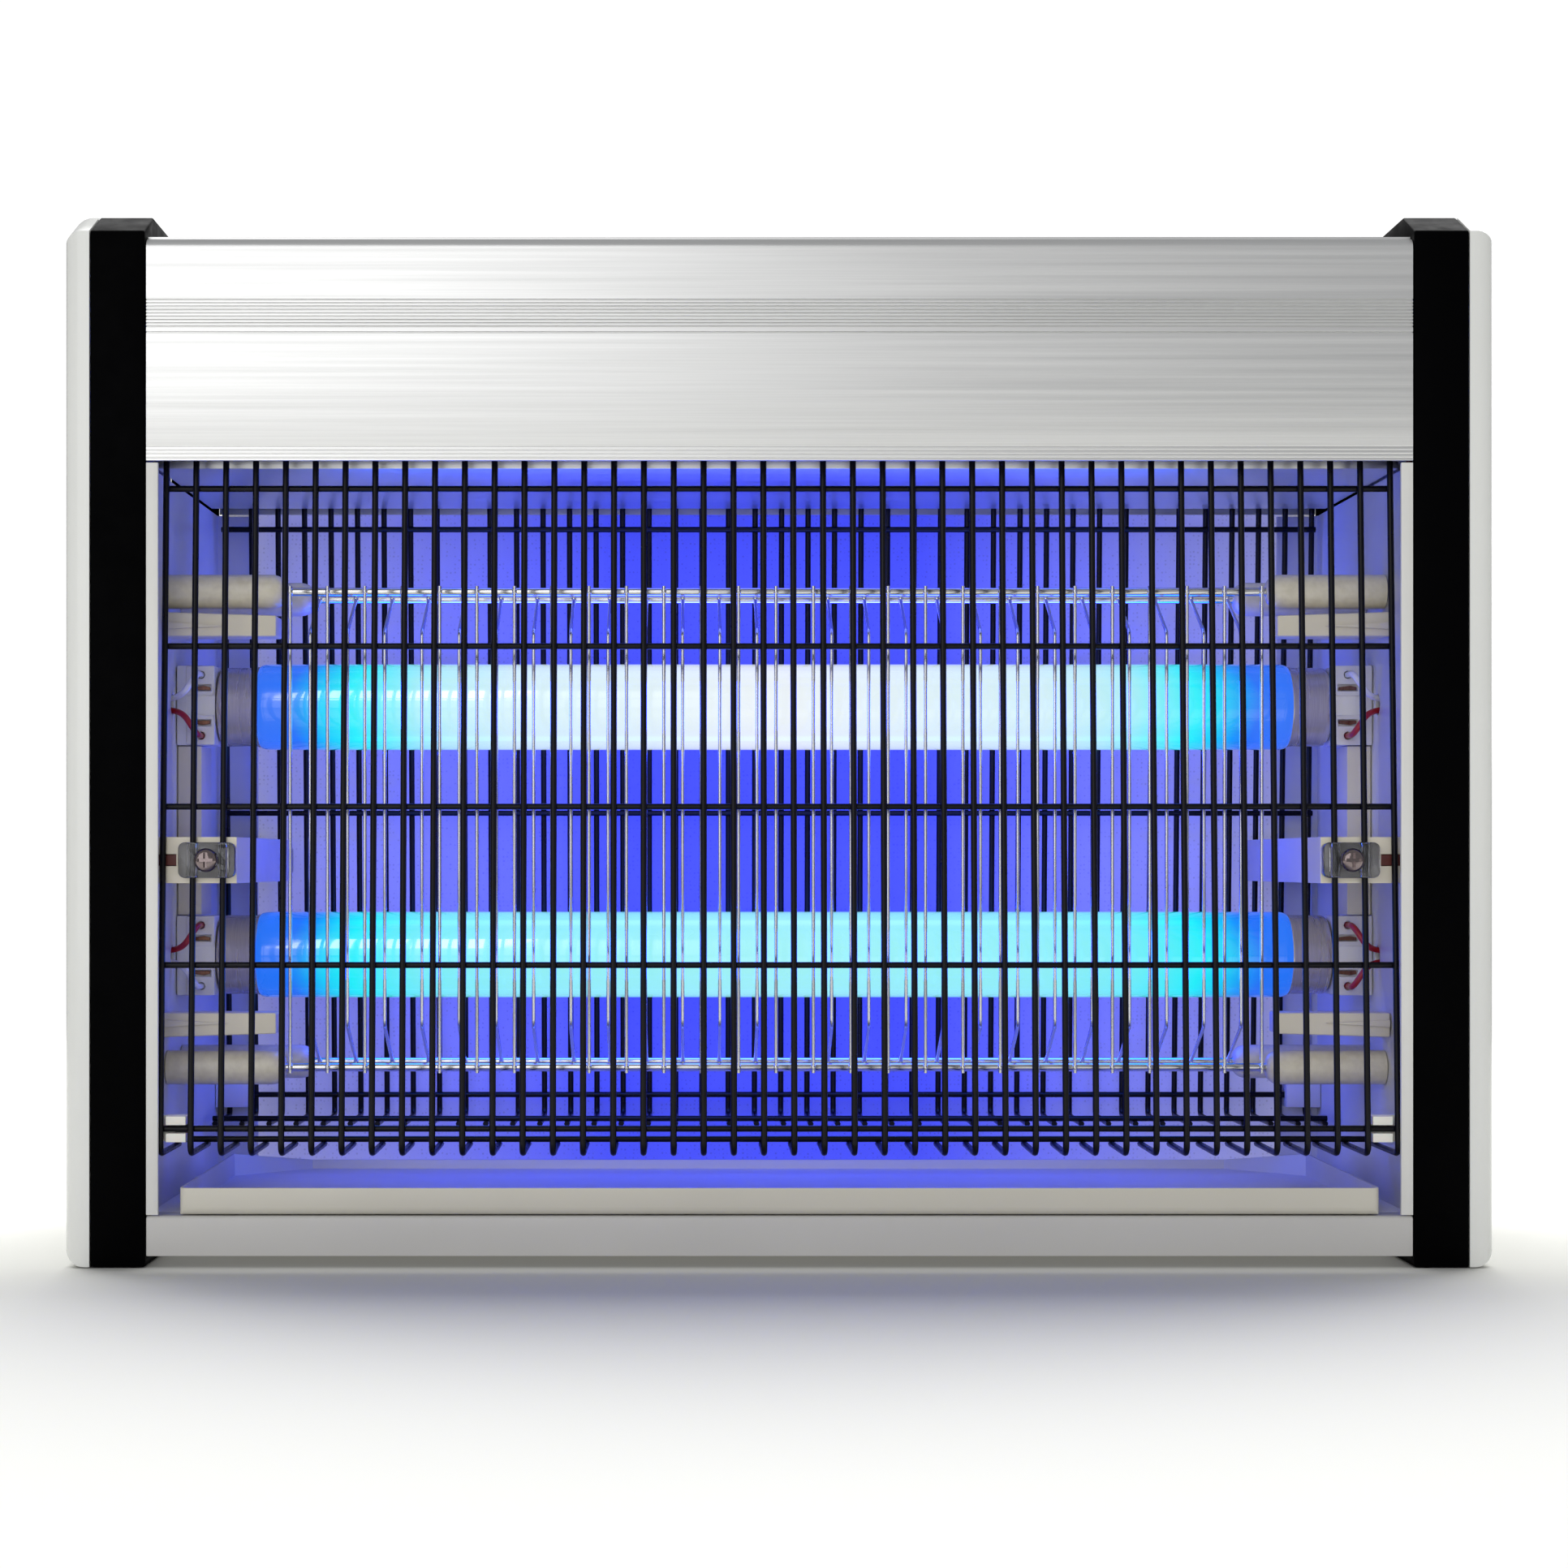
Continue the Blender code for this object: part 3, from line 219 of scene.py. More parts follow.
def bar(name, outline, push):
    """A solid with a drawn section: the outline is filled, then extruded along a vector."""
    item = to_mesh(drawn(name, outline, True))
    edit(item)
    bpy.ops.mesh.edge_face_add()
    bpy.ops.mesh.extrude_region_move(TRANSFORM_OT_translate={"value": push})
    bpy.ops.mesh.select_all(action="SELECT")
    bpy.ops.mesh.normals_make_consistent(inside=False)
    leave_edit()
    return item


def spun(name, profile, axis, steps=32):
    """Spins a drawn profile about an axis line, which is given as (centre, direction)."""
    item = to_mesh(drawn(name, profile, False))
    edit(item)
    centre, direction = axis
    bpy.ops.mesh.spin(steps=steps, angle=2 * math.pi, center=centre, axis=direction)
    bpy.ops.mesh.select_all(action="SELECT")
    bpy.ops.mesh.remove_doubles(threshold=2e-6)
    bpy.ops.mesh.normals_make_consistent(inside=False)
    leave_edit()
    return item


def filleted(route, radius, steps):
    """Rounds each corner of a route with a short curve."""
    route = [Vector(point) for point in route]
    points = [route[0]]
    for before, corner, after in zip(route, route[1:], route[2:]):
        reach = min(radius, (corner - before).length * 0.45, (after - corner).length * 0.45)
        start = corner + (before - corner).normalized() * reach
        end = corner + (after - corner).normalized() * reach
        for index in range(steps + 1):
            t = index / steps
            points.append(start * (1 - t) ** 2 + corner * 2 * t * (1 - t) + end * t ** 2)
    return points + [route[-1]]


print("drawing helpers ready")

# %% [markdown]
# ## Finishes
# Every finish is a Principled shader with its plain numbers set on the shader itself. Patterns
# read Object coordinates, so they stay put on the part: noise moves the colour and roughness a
# little, and a finer noise drives the bump. Brushing is the same noise stretched along one axis.

# %% Material helpers
def new_finish(name, colour, roughness, metallic=0.0, **constants):
    material = bpy.data.materials.new(name)
    material.use_nodes = True
    shader = material.node_tree.nodes["Principled BSDF"]
    shader.inputs["Base Color"].default_value = (*colour, 1)
    shader.inputs["Roughness"].default_value = roughness
    shader.inputs["Metallic"].default_value = metallic
    for key, value in constants.items():
        shader.inputs[key.replace("_", " ")].default_value = value
    return material


def add(material, kind, links=(), **settings):
    """Adds a node; links are (input name or number, output socket or constant)."""
    node = material.node_tree.nodes.new("ShaderNode" + kind)
    for key, value in settings.items():
        setattr(node, key, value)
    for key, value in links:
        if isinstance(value, bpy.types.NodeSocket):
            material.node_tree.links.new(value, node.inputs[key])
        else:
            node.inputs[key].default_value = value
    return node


def feed(material, socket, output):
    shader = material.node_tree.nodes["Principled BSDF"]
    material.node_tree.links.new(output, shader.inputs[socket])


def grain(material, scale, stretch=(1, 1, 1), detail=3.0):
    """Noise on Object coordinates; a small stretch number draws it out along that axis."""
    place = add(material, "TexCoord").outputs["Object"]
    turned = add(material, "Mapping", [("Vector", place), ("Scale", stretch)])
    noise = add(material, "TexNoise", [("Vector", turned.outputs[0]), ("Scale", scale),
                                       ("Detail", detail)])
    return noise.outputs[0]


def shade(material, pattern, low, high, middle=(0.35, 0.65)):
    """Lets a pattern move the base colour between two colours."""
    ramp = add(material, "ValToRGB", [("Fac", pattern)])
    ramp.color_ramp.elements[0].position, ramp.color_ramp.elements[1].position = middle
    ramp.color_ramp.elements[0].color = (*low, 1)
    ramp.color_ramp.elements[1].color = (*high, 1)
    feed(material, "Base Color", ramp.outputs[0])


def vary_roughness(material, pattern, low, high):
    spread = add(material, "MapRange", [("Value", pattern), ("From Min", 0.3), ("From Max", 0.7),
                                        ("To Min", low), ("To Max", high)])
    feed(material, "Roughness", spread.outputs[0])


def bump(material, pattern, height, strength=0.5):
    relief = add(material, "Bump", [("Height", pattern), ("Strength", strength),
                                    ("Distance", height)])
    feed(material, "Normal", relief.outputs[0])


print("material helpers ready")

# %% [markdown]
# Moulded plastics: gloss white for the end caps, dead black for the trims, and beige and grey
# for the insulators and lampholders. Moulding leaves a faint orange peel and slight
# cloudiness, so each has a soft colour drift and a shallow bump. The guard wires are dipped
# in black plastic, which has the same look.

# %% Moulded plastics
def moulding(name, colour, roughness, drift=0.05, peel=0.02 * MM, **constants):
    material = new_finish(name, colour, roughness, **constants)
    dark = tuple(channel * (1 - drift) for channel in colour)
    light = tuple(min(1, channel * (1 + drift)) for channel in colour)
    shade(material, grain(material, 28), dark, light)
    vary_roughness(material, grain(material, 160), roughness * 0.85, roughness * 1.2)
    bump(material, grain(material, 900, detail=2), peel, 0.35)
    return material


WHITE_CAP = moulding("white_gloss_plastic", (0.74, 0.745, 0.72), 0.16, 0.01)
BLACK_TRIM = moulding("deep_black_plastic", (0.0006, 0.0006, 0.0008), 0.5, 0.2,
                      Specular_IOR_Level=0.02)
BLACK_SWITCH = moulding("black_switch_plastic", (0.012, 0.012, 0.013), 0.38, 0.2)
BEIGE = moulding("beige_plastic", (0.72, 0.67, 0.55), 0.42, 0.04)
HOLDER = moulding("grey_white_holder_plastic", (0.72, 0.71, 0.72), 0.42, 0.05)
NYLON = moulding("white_nylon", (0.78, 0.76, 0.70), 0.35, 0.04, Subsurface_Weight=0.15,
                 Subsurface_Scale=0.002)
RUBBER = moulding("dark_rubber", (0.03, 0.03, 0.032), 0.7, 0.2, 0.06 * MM)
BAKELITE = moulding("red_brown_laminate", (0.10, 0.022, 0.018), 0.45, 0.15)
WIRE_BLACK = moulding("black_dipped_coating", (0.002, 0.0018, 0.004), 0.3, 0.2,
                      Specular_IOR_Level=0.22)
print("plastics:", [m.name for m in (WHITE_CAP, BLACK_TRIM, BEIGE, HOLDER, NYLON, WIRE_BLACK)])

# %% [markdown]
# The glazed ceramic sleeves are glossier than the plastic ribs beside them: a thin clear coat
# lies over a warm body with fine speckles, as fired clay has.

# %% Glazed ceramic
CERAMIC = new_finish("beige_glazed_ceramic", (0.56, 0.52, 0.40), 0.35, Coat_Weight=0.5,
                     Coat_Roughness=0.14)
shade(CERAMIC, grain(CERAMIC, 420, detail=4), (0.66, 0.61, 0.48), (0.74, 0.69, 0.55))
vary_roughness(CERAMIC, grain(CERAMIC, 90), 0.28, 0.42)
bump(CERAMIC, grain(CERAMIC, 240), 0.03 * MM, 0.3)
print("ceramic:", CERAMIC.name)

# %% [markdown]
# Painted sheet: the inner walls have white powder coat with its fine pebble, the tray has a
# smoother cream paint and the rails a satin grey. All show a few dull patches from wiping.

# %% Painted sheet
def paint(name, colour, roughness, pebble):
    material = new_finish(name, colour, roughness, Coat_Weight=0.15, Coat_Roughness=0.3)
    shade(material, grain(material, 14, detail=5), tuple(c * 0.96 for c in colour), colour)
    vary_roughness(material, grain(material, 45, detail=4), roughness * 0.8, roughness * 1.25)
    bump(material, grain(material, 1500, detail=2), pebble, 0.4)
    return material


PANEL_WHITE = paint("white_powder_coat", (0.70, 0.695, 0.67), 0.36, 0.03 * MM)
TRAY_PAINT = paint("cream_sheet_paint", (0.60, 0.575, 0.50), 0.36, 0.012 * MM)
RAIL_GREY = paint("satin_grey_rail_coat", (0.56, 0.55, 0.535), 0.45, 0.01 * MM)
print("paints:", [m.name for m in (PANEL_WHITE, TRAY_PAINT, RAIL_GREY)])

# %% [markdown]
# Metals. The header is anodised aluminium brushed along its length, so a long stretched noise
# sets both the colour streaks and the bump. The grid wire is drawn bright steel, the lamp caps
# are dulled nickel, and the screws and the lamp pins are zinc plated.

# %% Metals
def brushed(name, colour, roughness, stretch, streak, depth, metallic=1.0):
    material = new_finish(name, colour, roughness, metallic)
    lines = grain(material, 2600, stretch, detail=4)
    shade(material, lines, tuple(c * (1 - streak) for c in colour), colour)
    vary_roughness(material, grain(material, 700, stretch, detail=3), roughness * 0.85,
                   roughness * 1.2)
    bump(material, lines, depth, 0.4)
    return material


ALUMINIUM = brushed("brushed_aluminium", (0.88, 0.88, 0.87), 0.36, (0.006, 1, 1), 0.06, 0.002 * MM)
NICKEL = brushed("dulled_nickel", (0.66, 0.61, 0.55), 0.24, (1, 0.05, 0.05), 0.15, 0.001 * MM,
                 0.65)
CHROME = brushed("bright_drawn_steel", (0.82, 0.82, 0.84), 0.12, (1, 1, 0.02), 0.05, 0.0008 * MM)
ZINC = brushed("zinc_plated_steel", (0.26, 0.21, 0.21), 0.14, (1, 1, 1), 0.2, 0.005 * MM)
# The contacts' copper is made far darker than bare copper: the dark colour is painted shade of the slots
# they sit in.
COPPER_WITH_PAINTED_SLOT_SHADE = brushed("copper_contact_painted_slot_shade", (0.34, 0.17, 0.10), 0.3, (1, 1, 0.05), 0.25, 0.006 * MM)
print("metals:", [m.name for m in (ALUMINIUM, NICKEL, CHROME, ZINC, COPPER_WITH_PAINTED_SLOT_SHADE)])

# %% [markdown]
# The ballast case has the large crystals of dipped zinc, which a Voronoi pattern gives. The
# transformer core is a stack of thin dark plates, so a wave pattern runs across it.

# %% Header contents
ZINC_CASE = new_finish("dipped_zinc_case", (0.5, 0.5, 0.52), 0.4, 0.9)
cells = add(ZINC_CASE, "TexVoronoi", [("Scale", 170.0),
                                      ("Vector", add(ZINC_CASE, "TexCoord").outputs["Object"])])
shade(ZINC_CASE, cells.outputs["Color"], (0.42, 0.43, 0.45), (0.62, 0.63, 0.65), (0.2, 0.8))
bump(ZINC_CASE, grain(ZINC_CASE, 500), 0.02 * MM)
CORE_STEEL = new_finish("stacked_core_plates", (0.1, 0.1, 0.105), 0.5, 0.7)
plates = add(CORE_STEEL, "TexWave", [("Scale", 320.0), ("Distortion", 0.3),
                                     ("Vector", add(CORE_STEEL, "TexCoord").outputs["Object"])],
             bands_direction="Y")
shade(CORE_STEEL, plates.outputs["Color"], (0.05, 0.05, 0.055), (0.17, 0.17, 0.18), (0.2, 0.8))
bump(CORE_STEEL, plates.outputs["Fac"], 0.1 * MM)
print("header contents:", ZINC_CASE.name, CORE_STEEL.name)

# %% [markdown]
# Lead insulation is soft vinyl with a slight sheen, and the guard clips are clear acrylic, whose
# look comes from transmission and a polished surface with faint moulding waves.

# %% Vinyl and clear acrylic
def vinyl(name, colour):
    material = new_finish(name, colour, 0.38, Coat_Weight=0.2)
    shade(material, grain(material, 300), tuple(c * 0.8 for c in colour), colour)
    vary_roughness(material, grain(material, 700), 0.3, 0.5)
    bump(material, grain(material, 2500, (0.2, 1, 1)), 0.02 * MM, 0.3)
    return material


RED_LEAD = vinyl("red_vinyl", (0.42, 0.012, 0.02))
WHITE_LEAD = vinyl("white_vinyl", (0.86, 0.86, 0.92))
CLEAR = new_finish("clear_acrylic", (0.50, 0.51, 0.56), 0.04, Transmission_Weight=1.0, IOR=1.49)
vary_roughness(CLEAR, grain(CLEAR, 260), 0.02, 0.07)
bump(CLEAR, grain(CLEAR, 180), 0.05 * MM, 0.25)
print("vinyl and acrylic ready")

# %% [markdown]
# The lamp glass glows. Along the tube the glow runs from azure at the cool ends to a pale cyan
# white in the middle, and it is a little deeper blue on the upper and lower flanks. A colour
# ramp over the distance from the tube's end gives this, and a clear coat gives the glass gloss.
# The lower tube gets less red, so its middle is cyan and less white.

# %% Glowing lamp glass
GLASS = new_finish("glowing_lamp_glass", (0.01, 0.05, 0.10), 0.25, Coat_Weight=1.0,
                   Coat_Roughness=0.05, Emission_Strength=1.0)
across = add(GLASS, "SeparateXYZ", [(0, add(GLASS, "TexCoord").outputs["Object"])])
from_middle = add(GLASS, "Math", [(0, across.outputs["X"])], operation="ABSOLUTE")
from_end = add(GLASS, "MapRange", [("Value", from_middle.outputs[0]), ("From Min", 0.153),
                                   ("From Max", 0.0), ("To Min", 0.0), ("To Max", 1.0)])
flank = add(GLASS, "SeparateXYZ", [(0, add(GLASS, "NewGeometry").outputs["Normal"])])
flank_squared = add(GLASS, "Math", [(0, flank.outputs["Z"]), (1, flank.outputs["Z"])],
                    operation="MULTIPLY")
reach = add(GLASS, "Math", [(0, flank_squared.outputs[0]), (1, -0.035), (2, from_end.outputs[0])],
            operation="MULTIPLY_ADD")
cloud = add(GLASS, "Math", [(0, grain(GLASS, 30)), (1, 0.06), (2, reach.outputs[0])],
            operation="MULTIPLY_ADD")
glow = add(GLASS, "ValToRGB", [("Fac", cloud.outputs[0])])
stops = [(0.0, (0.03, 0.15, 0.86)), (0.085, (0.02, 0.15, 0.86)), (0.115, (0.005, 0.29, 0.86)),
         (0.16, (0.01, 0.64, 0.87)), (0.205, (0.02, 0.86, 0.89)), (0.265, (0.17, 0.84, 0.87)),
         (0.355, (0.46, 0.85, 0.86)), (0.50, (0.66, 0.86, 0.86)), (1.0, (0.84, 0.88, 0.85))]
glow.color_ramp.elements[0].color = (*stops[0][1], 1)
glow.color_ramp.elements[1].color = (*stops[-1][1], 1)
for position, colour in stops[1:-1]:
    glow.color_ramp.elements.new(position).color = (*colour, 1)
redness = add(GLASS, "MapRange", [("Value", across.outputs["Z"]), ("From Min", 0.10),
                                  ("From Max", 0.14), ("To Min", 0.42), ("To Max", 1.0)])
tone = add(GLASS, "CombineXYZ", [("X", redness.outputs[0]), ("Y", 1.0), ("Z", 1.0)])
tinted = add(GLASS, "VectorMath", [(0, glow.outputs[0]), (1, tone.outputs[0])],
             operation="MULTIPLY")
feed(GLASS, "Emission Color", tinted.outputs[0])
vary_roughness(GLASS, grain(GLASS, 60), 0.2, 0.3)
print("glow stops:", len(glow.color_ramp.elements))

# %% [markdown]
# ## Parts that keep their shape
# Most sheet-metal and moulded parts already have their true shape, but their edges are razor
# sharp. A welded copy with a small bevel catches light along its edges as a real one does. The
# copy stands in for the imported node, which stays for the physics.

# %% Softening helper
def finish_piece(piece, finish, body, slot, *nodes):
    """Gives a piece its finish and its body, and hides the nodes it stands for. The slot argument is not
    used.
    """
    piece.data.materials.clear()
    piece.data.materials.append(finish)
    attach(piece, body)
    if nodes:
        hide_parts(*nodes)
    return piece


def soften(node, finish, slot, width, segments=2, body="root"):
    piece = copy_of(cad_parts[node], node + "_finished")
    piece.hide_render = False
    weld(piece)
    if width:
        bevelled(piece, width, segments)
    smooth(piece)
    finish_piece(piece, finish, body, slot, node)
    return piece


print("softening helper ready")

# %% Softened parts
sides = ("left", "right")
levels = ("lower", "upper")
faces = ("front", "rear")
plain = [("header_base_plate", ALUMINIUM, "aluminium", 0.15 * MM),
         ("front_base_rail", RAIL_GREY, "aluminium", 0.3 * MM),
         ("rear_base_rail", RAIL_GREY, "aluminium", 0.3 * MM),
         ("lamp_ballast", ZINC_CASE, "zinc_case", 0.6 * MM),
         ("high_voltage_transformer", CORE_STEEL, "laminations", 0.4 * MM),
         ("switch_housing", BLACK_SWITCH, "black_switch", 0.4 * MM),
         ("cord_inlet_grommet", RUBBER, "rubber", 0.3 * MM)]
for side in sides:
    plain += [(f"{side}_black_trim", BLACK_TRIM, "black_trim", 0.5 * MM),
              (f"{side}_side_panel", PANEL_WHITE, "white_panel", 0.25 * MM),
              (f"{side}_mid_bracket", BEIGE, "beige_moulding", 0.5 * MM)]
    for face in faces:
        plain += [(f"{side}_{face}_guard_clip", CLEAR, "clear_plastic", 0.6 * MM),
                  (f"{side}_{face}_snap_clip", NYLON, "nylon", 0.6 * MM)]
for node, finish, slot_name, width in plain:
    soften(node, finish, slot_name, width)
soften("switch_rocker", BLACK_SWITCH, "black_switch", 0.3 * MM, body="rocker")
print("softened parts:", len(plain) + 1)

# %% [markdown]
# ## Places that pieces share
# More than one piece lines up with these: the walls' inner faces, the two rods of each live
# grid, the lamps' centre lines, the lampholders' terminals, the depth at which the leads rise,
# and the height of the guard clips.

# %% Shared places
wall_x = 176.7 * MM
rod_levels = (53.3 * MM, 191.5 * MM)
rod_depths = {"front": -30 * MM, "rear": -5 * MM}
lamp_levels = {"lower": 85.3 * MM, "upper": 159.3 * MM}
lamp_y = -5 * MM
terminal_x = 169.5 * MM
lead_y = -21 * MM
clip_level = 113.5 * MM
print("inner width in mm:", round(2 * wall_x / MM, 1))

# %% [markdown]
# ## The wire guards
# Each guard is a welded grille: uprights that hook inwards at the foot, and round bars across
# behind them. One upright is drawn as a bent line and given its round section, then copied
# along the width, each copy with its own mesh. The rear guard is the front one mirrored.

# %% Wire guards
guard_diameter = 1.8 * MM
guard_pitch = 8.45 * MM
guard_count = 42
guard_half = (guard_count - 1) * guard_pitch / 2
guard_foot = 31.3 * MM
guard_top = 236 * MM
guard_foot_y = -62 * MM
guard_lean = 10 * MM
guard_lean_height = 193.7 * MM


def guard_y(height):
    """Depth of the leaning uprights at a height."""
    share = (height - guard_foot) / guard_lean_height
    return guard_foot_y + share * guard_lean


def row_of(first, name, places):
    """Copies a piece along X to each place and joins the row."""
    row = []
    for index, x in enumerate(places):
        twin = copy_of(first, f"{name}_{index}")
        twin.location.x = x
        settle(twin)
        row.append(twin)
    bpy.data.objects.remove(first)
    return join(name, row)


low_y = guard_y(guard_foot)
route = [(0, guard_y(guard_top), guard_top), (0, low_y, guard_foot), (0, low_y + 30 * MM, guard_foot)]
upright = wire("guard_upright", filleted(route, 3 * MM, 5), guard_diameter)
places = [index * guard_pitch - guard_half for index in range(guard_count)]
front_guard = row_of(upright, "front_guard_uprights", places)
bar_levels = [(guard_y(z * MM) + 1.5 * MM, z * MM) for z in (38.2, 84, 128.6, 174, 218.8)]
bar_levels.append((low_y + 28.2 * MM, 32.8 * MM))
bars = []
reach = guard_half + guard_diameter / 2
for index, (y, z) in enumerate(bar_levels):
    bars.append(wire(f"guard_bar_{index}", [(-reach, y, z), (reach, y, z)], guard_diameter, 3))
front_guard = join("front_guard_wires", [front_guard] + bars)
smooth(front_guard, 50)
rear_guard = mirrored(front_guard, "rear_guard_wires", 1)
smooth(rear_guard, 50)
finish_piece(front_guard, WIRE_BLACK, "root", "guard_wire", "front_guard")
finish_piece(rear_guard, WIRE_BLACK, "root", "guard_wire", "rear_guard")
print("guard faces:", len(front_guard.data.polygons))

# %% [markdown]
# ## The live grids
# Two rods carry a curtain of bright wires. The front wires hang straight, and the rear ones
# bend forward between the rods. A small bead of weld sits where each wire meets a rod: a coarse
# sphere, stretched into an egg and copied to every crossing.

# %% Live grids
rod_diameter = 2.4 * MM
rod_half = 166.4 * MM
grid_pitch = 10.85 * MM
front_wire_y = -31.2 * MM
rear_wire_y = -5.8 * MM


def bead(name, y, z):
    bpy.ops.mesh.primitive_uv_sphere_add(segments=8, ring_count=5, radius=0.95 * MM, location=(0, y, z))
    item = bpy.context.object
    item.name = name
    item.scale = (0.85, 0.9, 1.5)
    settle(item)
    smooth(item, 60)
    return item


def live_grid(face, wire_route, bead_y, count):
    rod_y = rod_depths[face]
    first = wire(f"{face}_grid_wire", wire_route, 1.1 * MM)
    beads = [bead(f"{face}_bead_{index}", bead_y, z) for index, z in enumerate(rod_levels)]
    first = join(f"{face}_grid_strand", beads + [first])
    places = [(index - (count - 1) / 2) * grid_pitch for index in range(count)]
    strands = row_of(first, f"{face}_grid_strands", places)
    rods = []
    for index, z in enumerate(rod_levels):
        route = [(-rod_half, rod_y, z), (rod_half, rod_y, z)]
        rods.append(wire(f"{face}_grid_rod_{index}", route, rod_diameter, 4))
    grid = join(f"{face}_live_grid_wires", [strands] + rods)
    smooth(grid, 50)
    return finish_piece(grid, CHROME, "root", "grid_steel", f"{face}_live_grid")


front_route = [(0, front_wire_y, 51.7 * MM), (0, front_wire_y, 193.1 * MM)]
live_grid("front", front_route, -31.0 * MM, 27)
rear_route = [(0, rear_wire_y, rod_levels[0]), (0, -28 * MM, 65 * MM), (0, -28 * MM, 180 * MM),
              (0, rear_wire_y, rod_levels[1])]
live_grid("rear", filleted(rear_route, 2.2 * MM, 4), -6.0 * MM, 26)
print("rods at heights in mm:", [round(z / MM, 1) for z in rod_levels])

# %% [markdown]
# ## Ceramic sleeves
# A sleeve is a turned shape: its profile, with a well-rounded nose and a bore for the rod, is
# drawn once and spun about the rod's line. Longer sleeves hold the rear rods.

# %% Sleeves
sleeve_lengths = {"front": 34.3 * MM, "rear": 39.3 * MM}


def turned_sleeve(name, y, z, length):
    root, radius, nose = wall_x, 5 * MM, 3.0 * MM
    bore_radius, bore_depth = 1.35 * MM, 4 * MM
    tip = root - length
    profile = [(root, 0.0), (root, radius), (tip + nose * 1.4, radius)]
    for step in range(1, 9):
        angle = math.pi / 2 * step / 8
        profile.append((tip + nose * 1.4 * (1 - math.sin(angle)), radius - nose * (1 - math.cos(angle))))
    profile += [(tip, bore_radius), (tip + bore_depth, bore_radius), (tip + bore_depth, 0.0)]
    points = [(x, y, z + r) for x, r in profile]
    item = spun(name, points, ((0, y, z), (1, 0, 0)))
    smooth(item, 40)
    return item


for level, z in zip(levels, rod_levels):
    for row, length in sleeve_lengths.items():
        right = turned_sleeve(f"right_{level}_{row}_ceramic", rod_depths[row], z, length)
        left = mirrored(right, f"left_{level}_{row}_ceramic", 0)
        smooth(left, 40)
        for side, item in (("left", left), ("right", right)):
            finish_piece(item, CERAMIC, "root", "sleeve_ceramic", f"{side}_{level}_{row}_sleeve")
print("sleeve lengths in mm:", {row: round(v / MM, 1) for row, v in sleeve_lengths.items()})

# %% [markdown]
# ## Insulator ribs
# Beside each front sleeve a flat tapered rib stands out from the wall, with a thin ridge that
# runs out towards its tip. The section is drawn, extruded through its depth and softened.

# %% Ribs
def rib(name, z, up):
    root, tip, base = wall_x, 144.2 * MM, -3 * MM
    outline = [(tip, base), (root, base), (root, base + 7 * MM), (tip, base + 6 * MM)]
    body = bar(name, [(x, -38 * MM, z + up * h) for x, h in outline], (0, 12 * MM, 0))
    bevelled(body, 0.45 * MM, 3)
    ridge = [(root - 0.2 * MM, 1.1 * MM), (root - 0.2 * MM, -1.0 * MM), (158 * MM, -0.1 * MM)]
    sliver = bar(name + "_ridge", [(x, -39 * MM, z + up * h) for x, h in ridge], (0, 3 * MM, 0))
    bevelled(sliver, 0.12 * MM, 2)
    item = join(name, [sliver, body])
    weld(item, flat=False)
    smooth(item, 40)
    return item


for level, z, up in (("lower", 66.5 * MM, -1), ("upper", 181 * MM, 1)):
    right = rib(f"right_{level}_rib", z, up)
    left = mirrored(right, f"left_{level}_rib", 0)
    smooth(left, 40)
    for side, item in (("left", left), ("right", right)):
        finish_piece(item, BEIGE, "root", "beige_moulding", f"{side}_{level}_insulator_rib")
print("ribs: 4")

# %% [markdown]
# ## The lamps
# A fluorescent tube is a glass cylinder whose ends draw in to fit a metal cap, and each cap has
# a rolled rim, a slightly sunk end and two pins. Glass, caps and pins are separate pieces, because each
# has its own finish, and all of them turn with the tube.

# %% Lamps
def lamp_glass(level, z):
    half = [(153.6, 11.3), (153.4, 11.9), (152.8, 12.4), (151.6, 12.72), (150.0, 12.8)]
    profile = half + [(-x, r) for x, r in reversed(half)]
    points = [(x * MM, lamp_y, z + r * MM) for x, r in profile]
    item = spun(f"{level}_lamp_glass", points, ((0, lamp_y, z), (1, 0, 0)), 64)
    smooth(item, 60)
    return item


def lamp_cap(name, z):
    """The right-hand cap, with a rolled inner rim and a rounded outer edge."""
    profile = [(153.0, 11.0), (152.9, 11.85), (153.3, 12.0), (153.9, 11.95), (154.2, 11.75),
               (163.2, 11.75), (164.2, 11.55), (164.9, 11.0), (165.2, 10.2), (165.2, 9.2),
               (164.7, 8.8), (164.7, 0.0)]
    points = [(x * MM, lamp_y, z + r * MM) for x, r in profile]
    item = spun(name, points, ((0, lamp_y, z), (1, 0, 0)), 48)
    smooth(item, 45)
    return item


def lamp_pins(name, z):
    pins = []
    for sign in (-1, 1):
        centre = z + sign * 6.35 * MM
        profile = [(163.9, 0.0), (163.9, 1.2), (171.4, 1.2), (171.9, 0.95), (172.2, 0.5), (172.2, 0.0)]
        points = [(x * MM, lamp_y, centre + r * MM) for x, r in profile]
        pins.append(spun(f"{name}_{sign}", points, ((0, lamp_y, centre), (1, 0, 0)), 16))
        smooth(pins[-1], 45)
    return join(name, pins)


for level, z in lamp_levels.items():
    body = f"{level}_tube"
    glass = lamp_glass(level, z)
    glass.visible_diffuse = False
    finish_piece(glass, GLASS, body, "lamp_glass", f"{level}_lamp")
    right_cap = lamp_cap(f"right_{level}_lamp_cap", z)
    right_pins = lamp_pins(f"right_{level}_lamp_pins", z)
    for item in (right_cap, mirrored(right_cap, f"left_{level}_lamp_cap", 0)):
        smooth(item, 45)
        finish_piece(item, NICKEL, body, None)
    for item in (right_pins, mirrored(right_pins, f"left_{level}_lamp_pins", 0)):
        smooth(item, 45)
        finish_piece(item, ZINC, body, None)
print("lamp glass diameter in mm: 25.6")
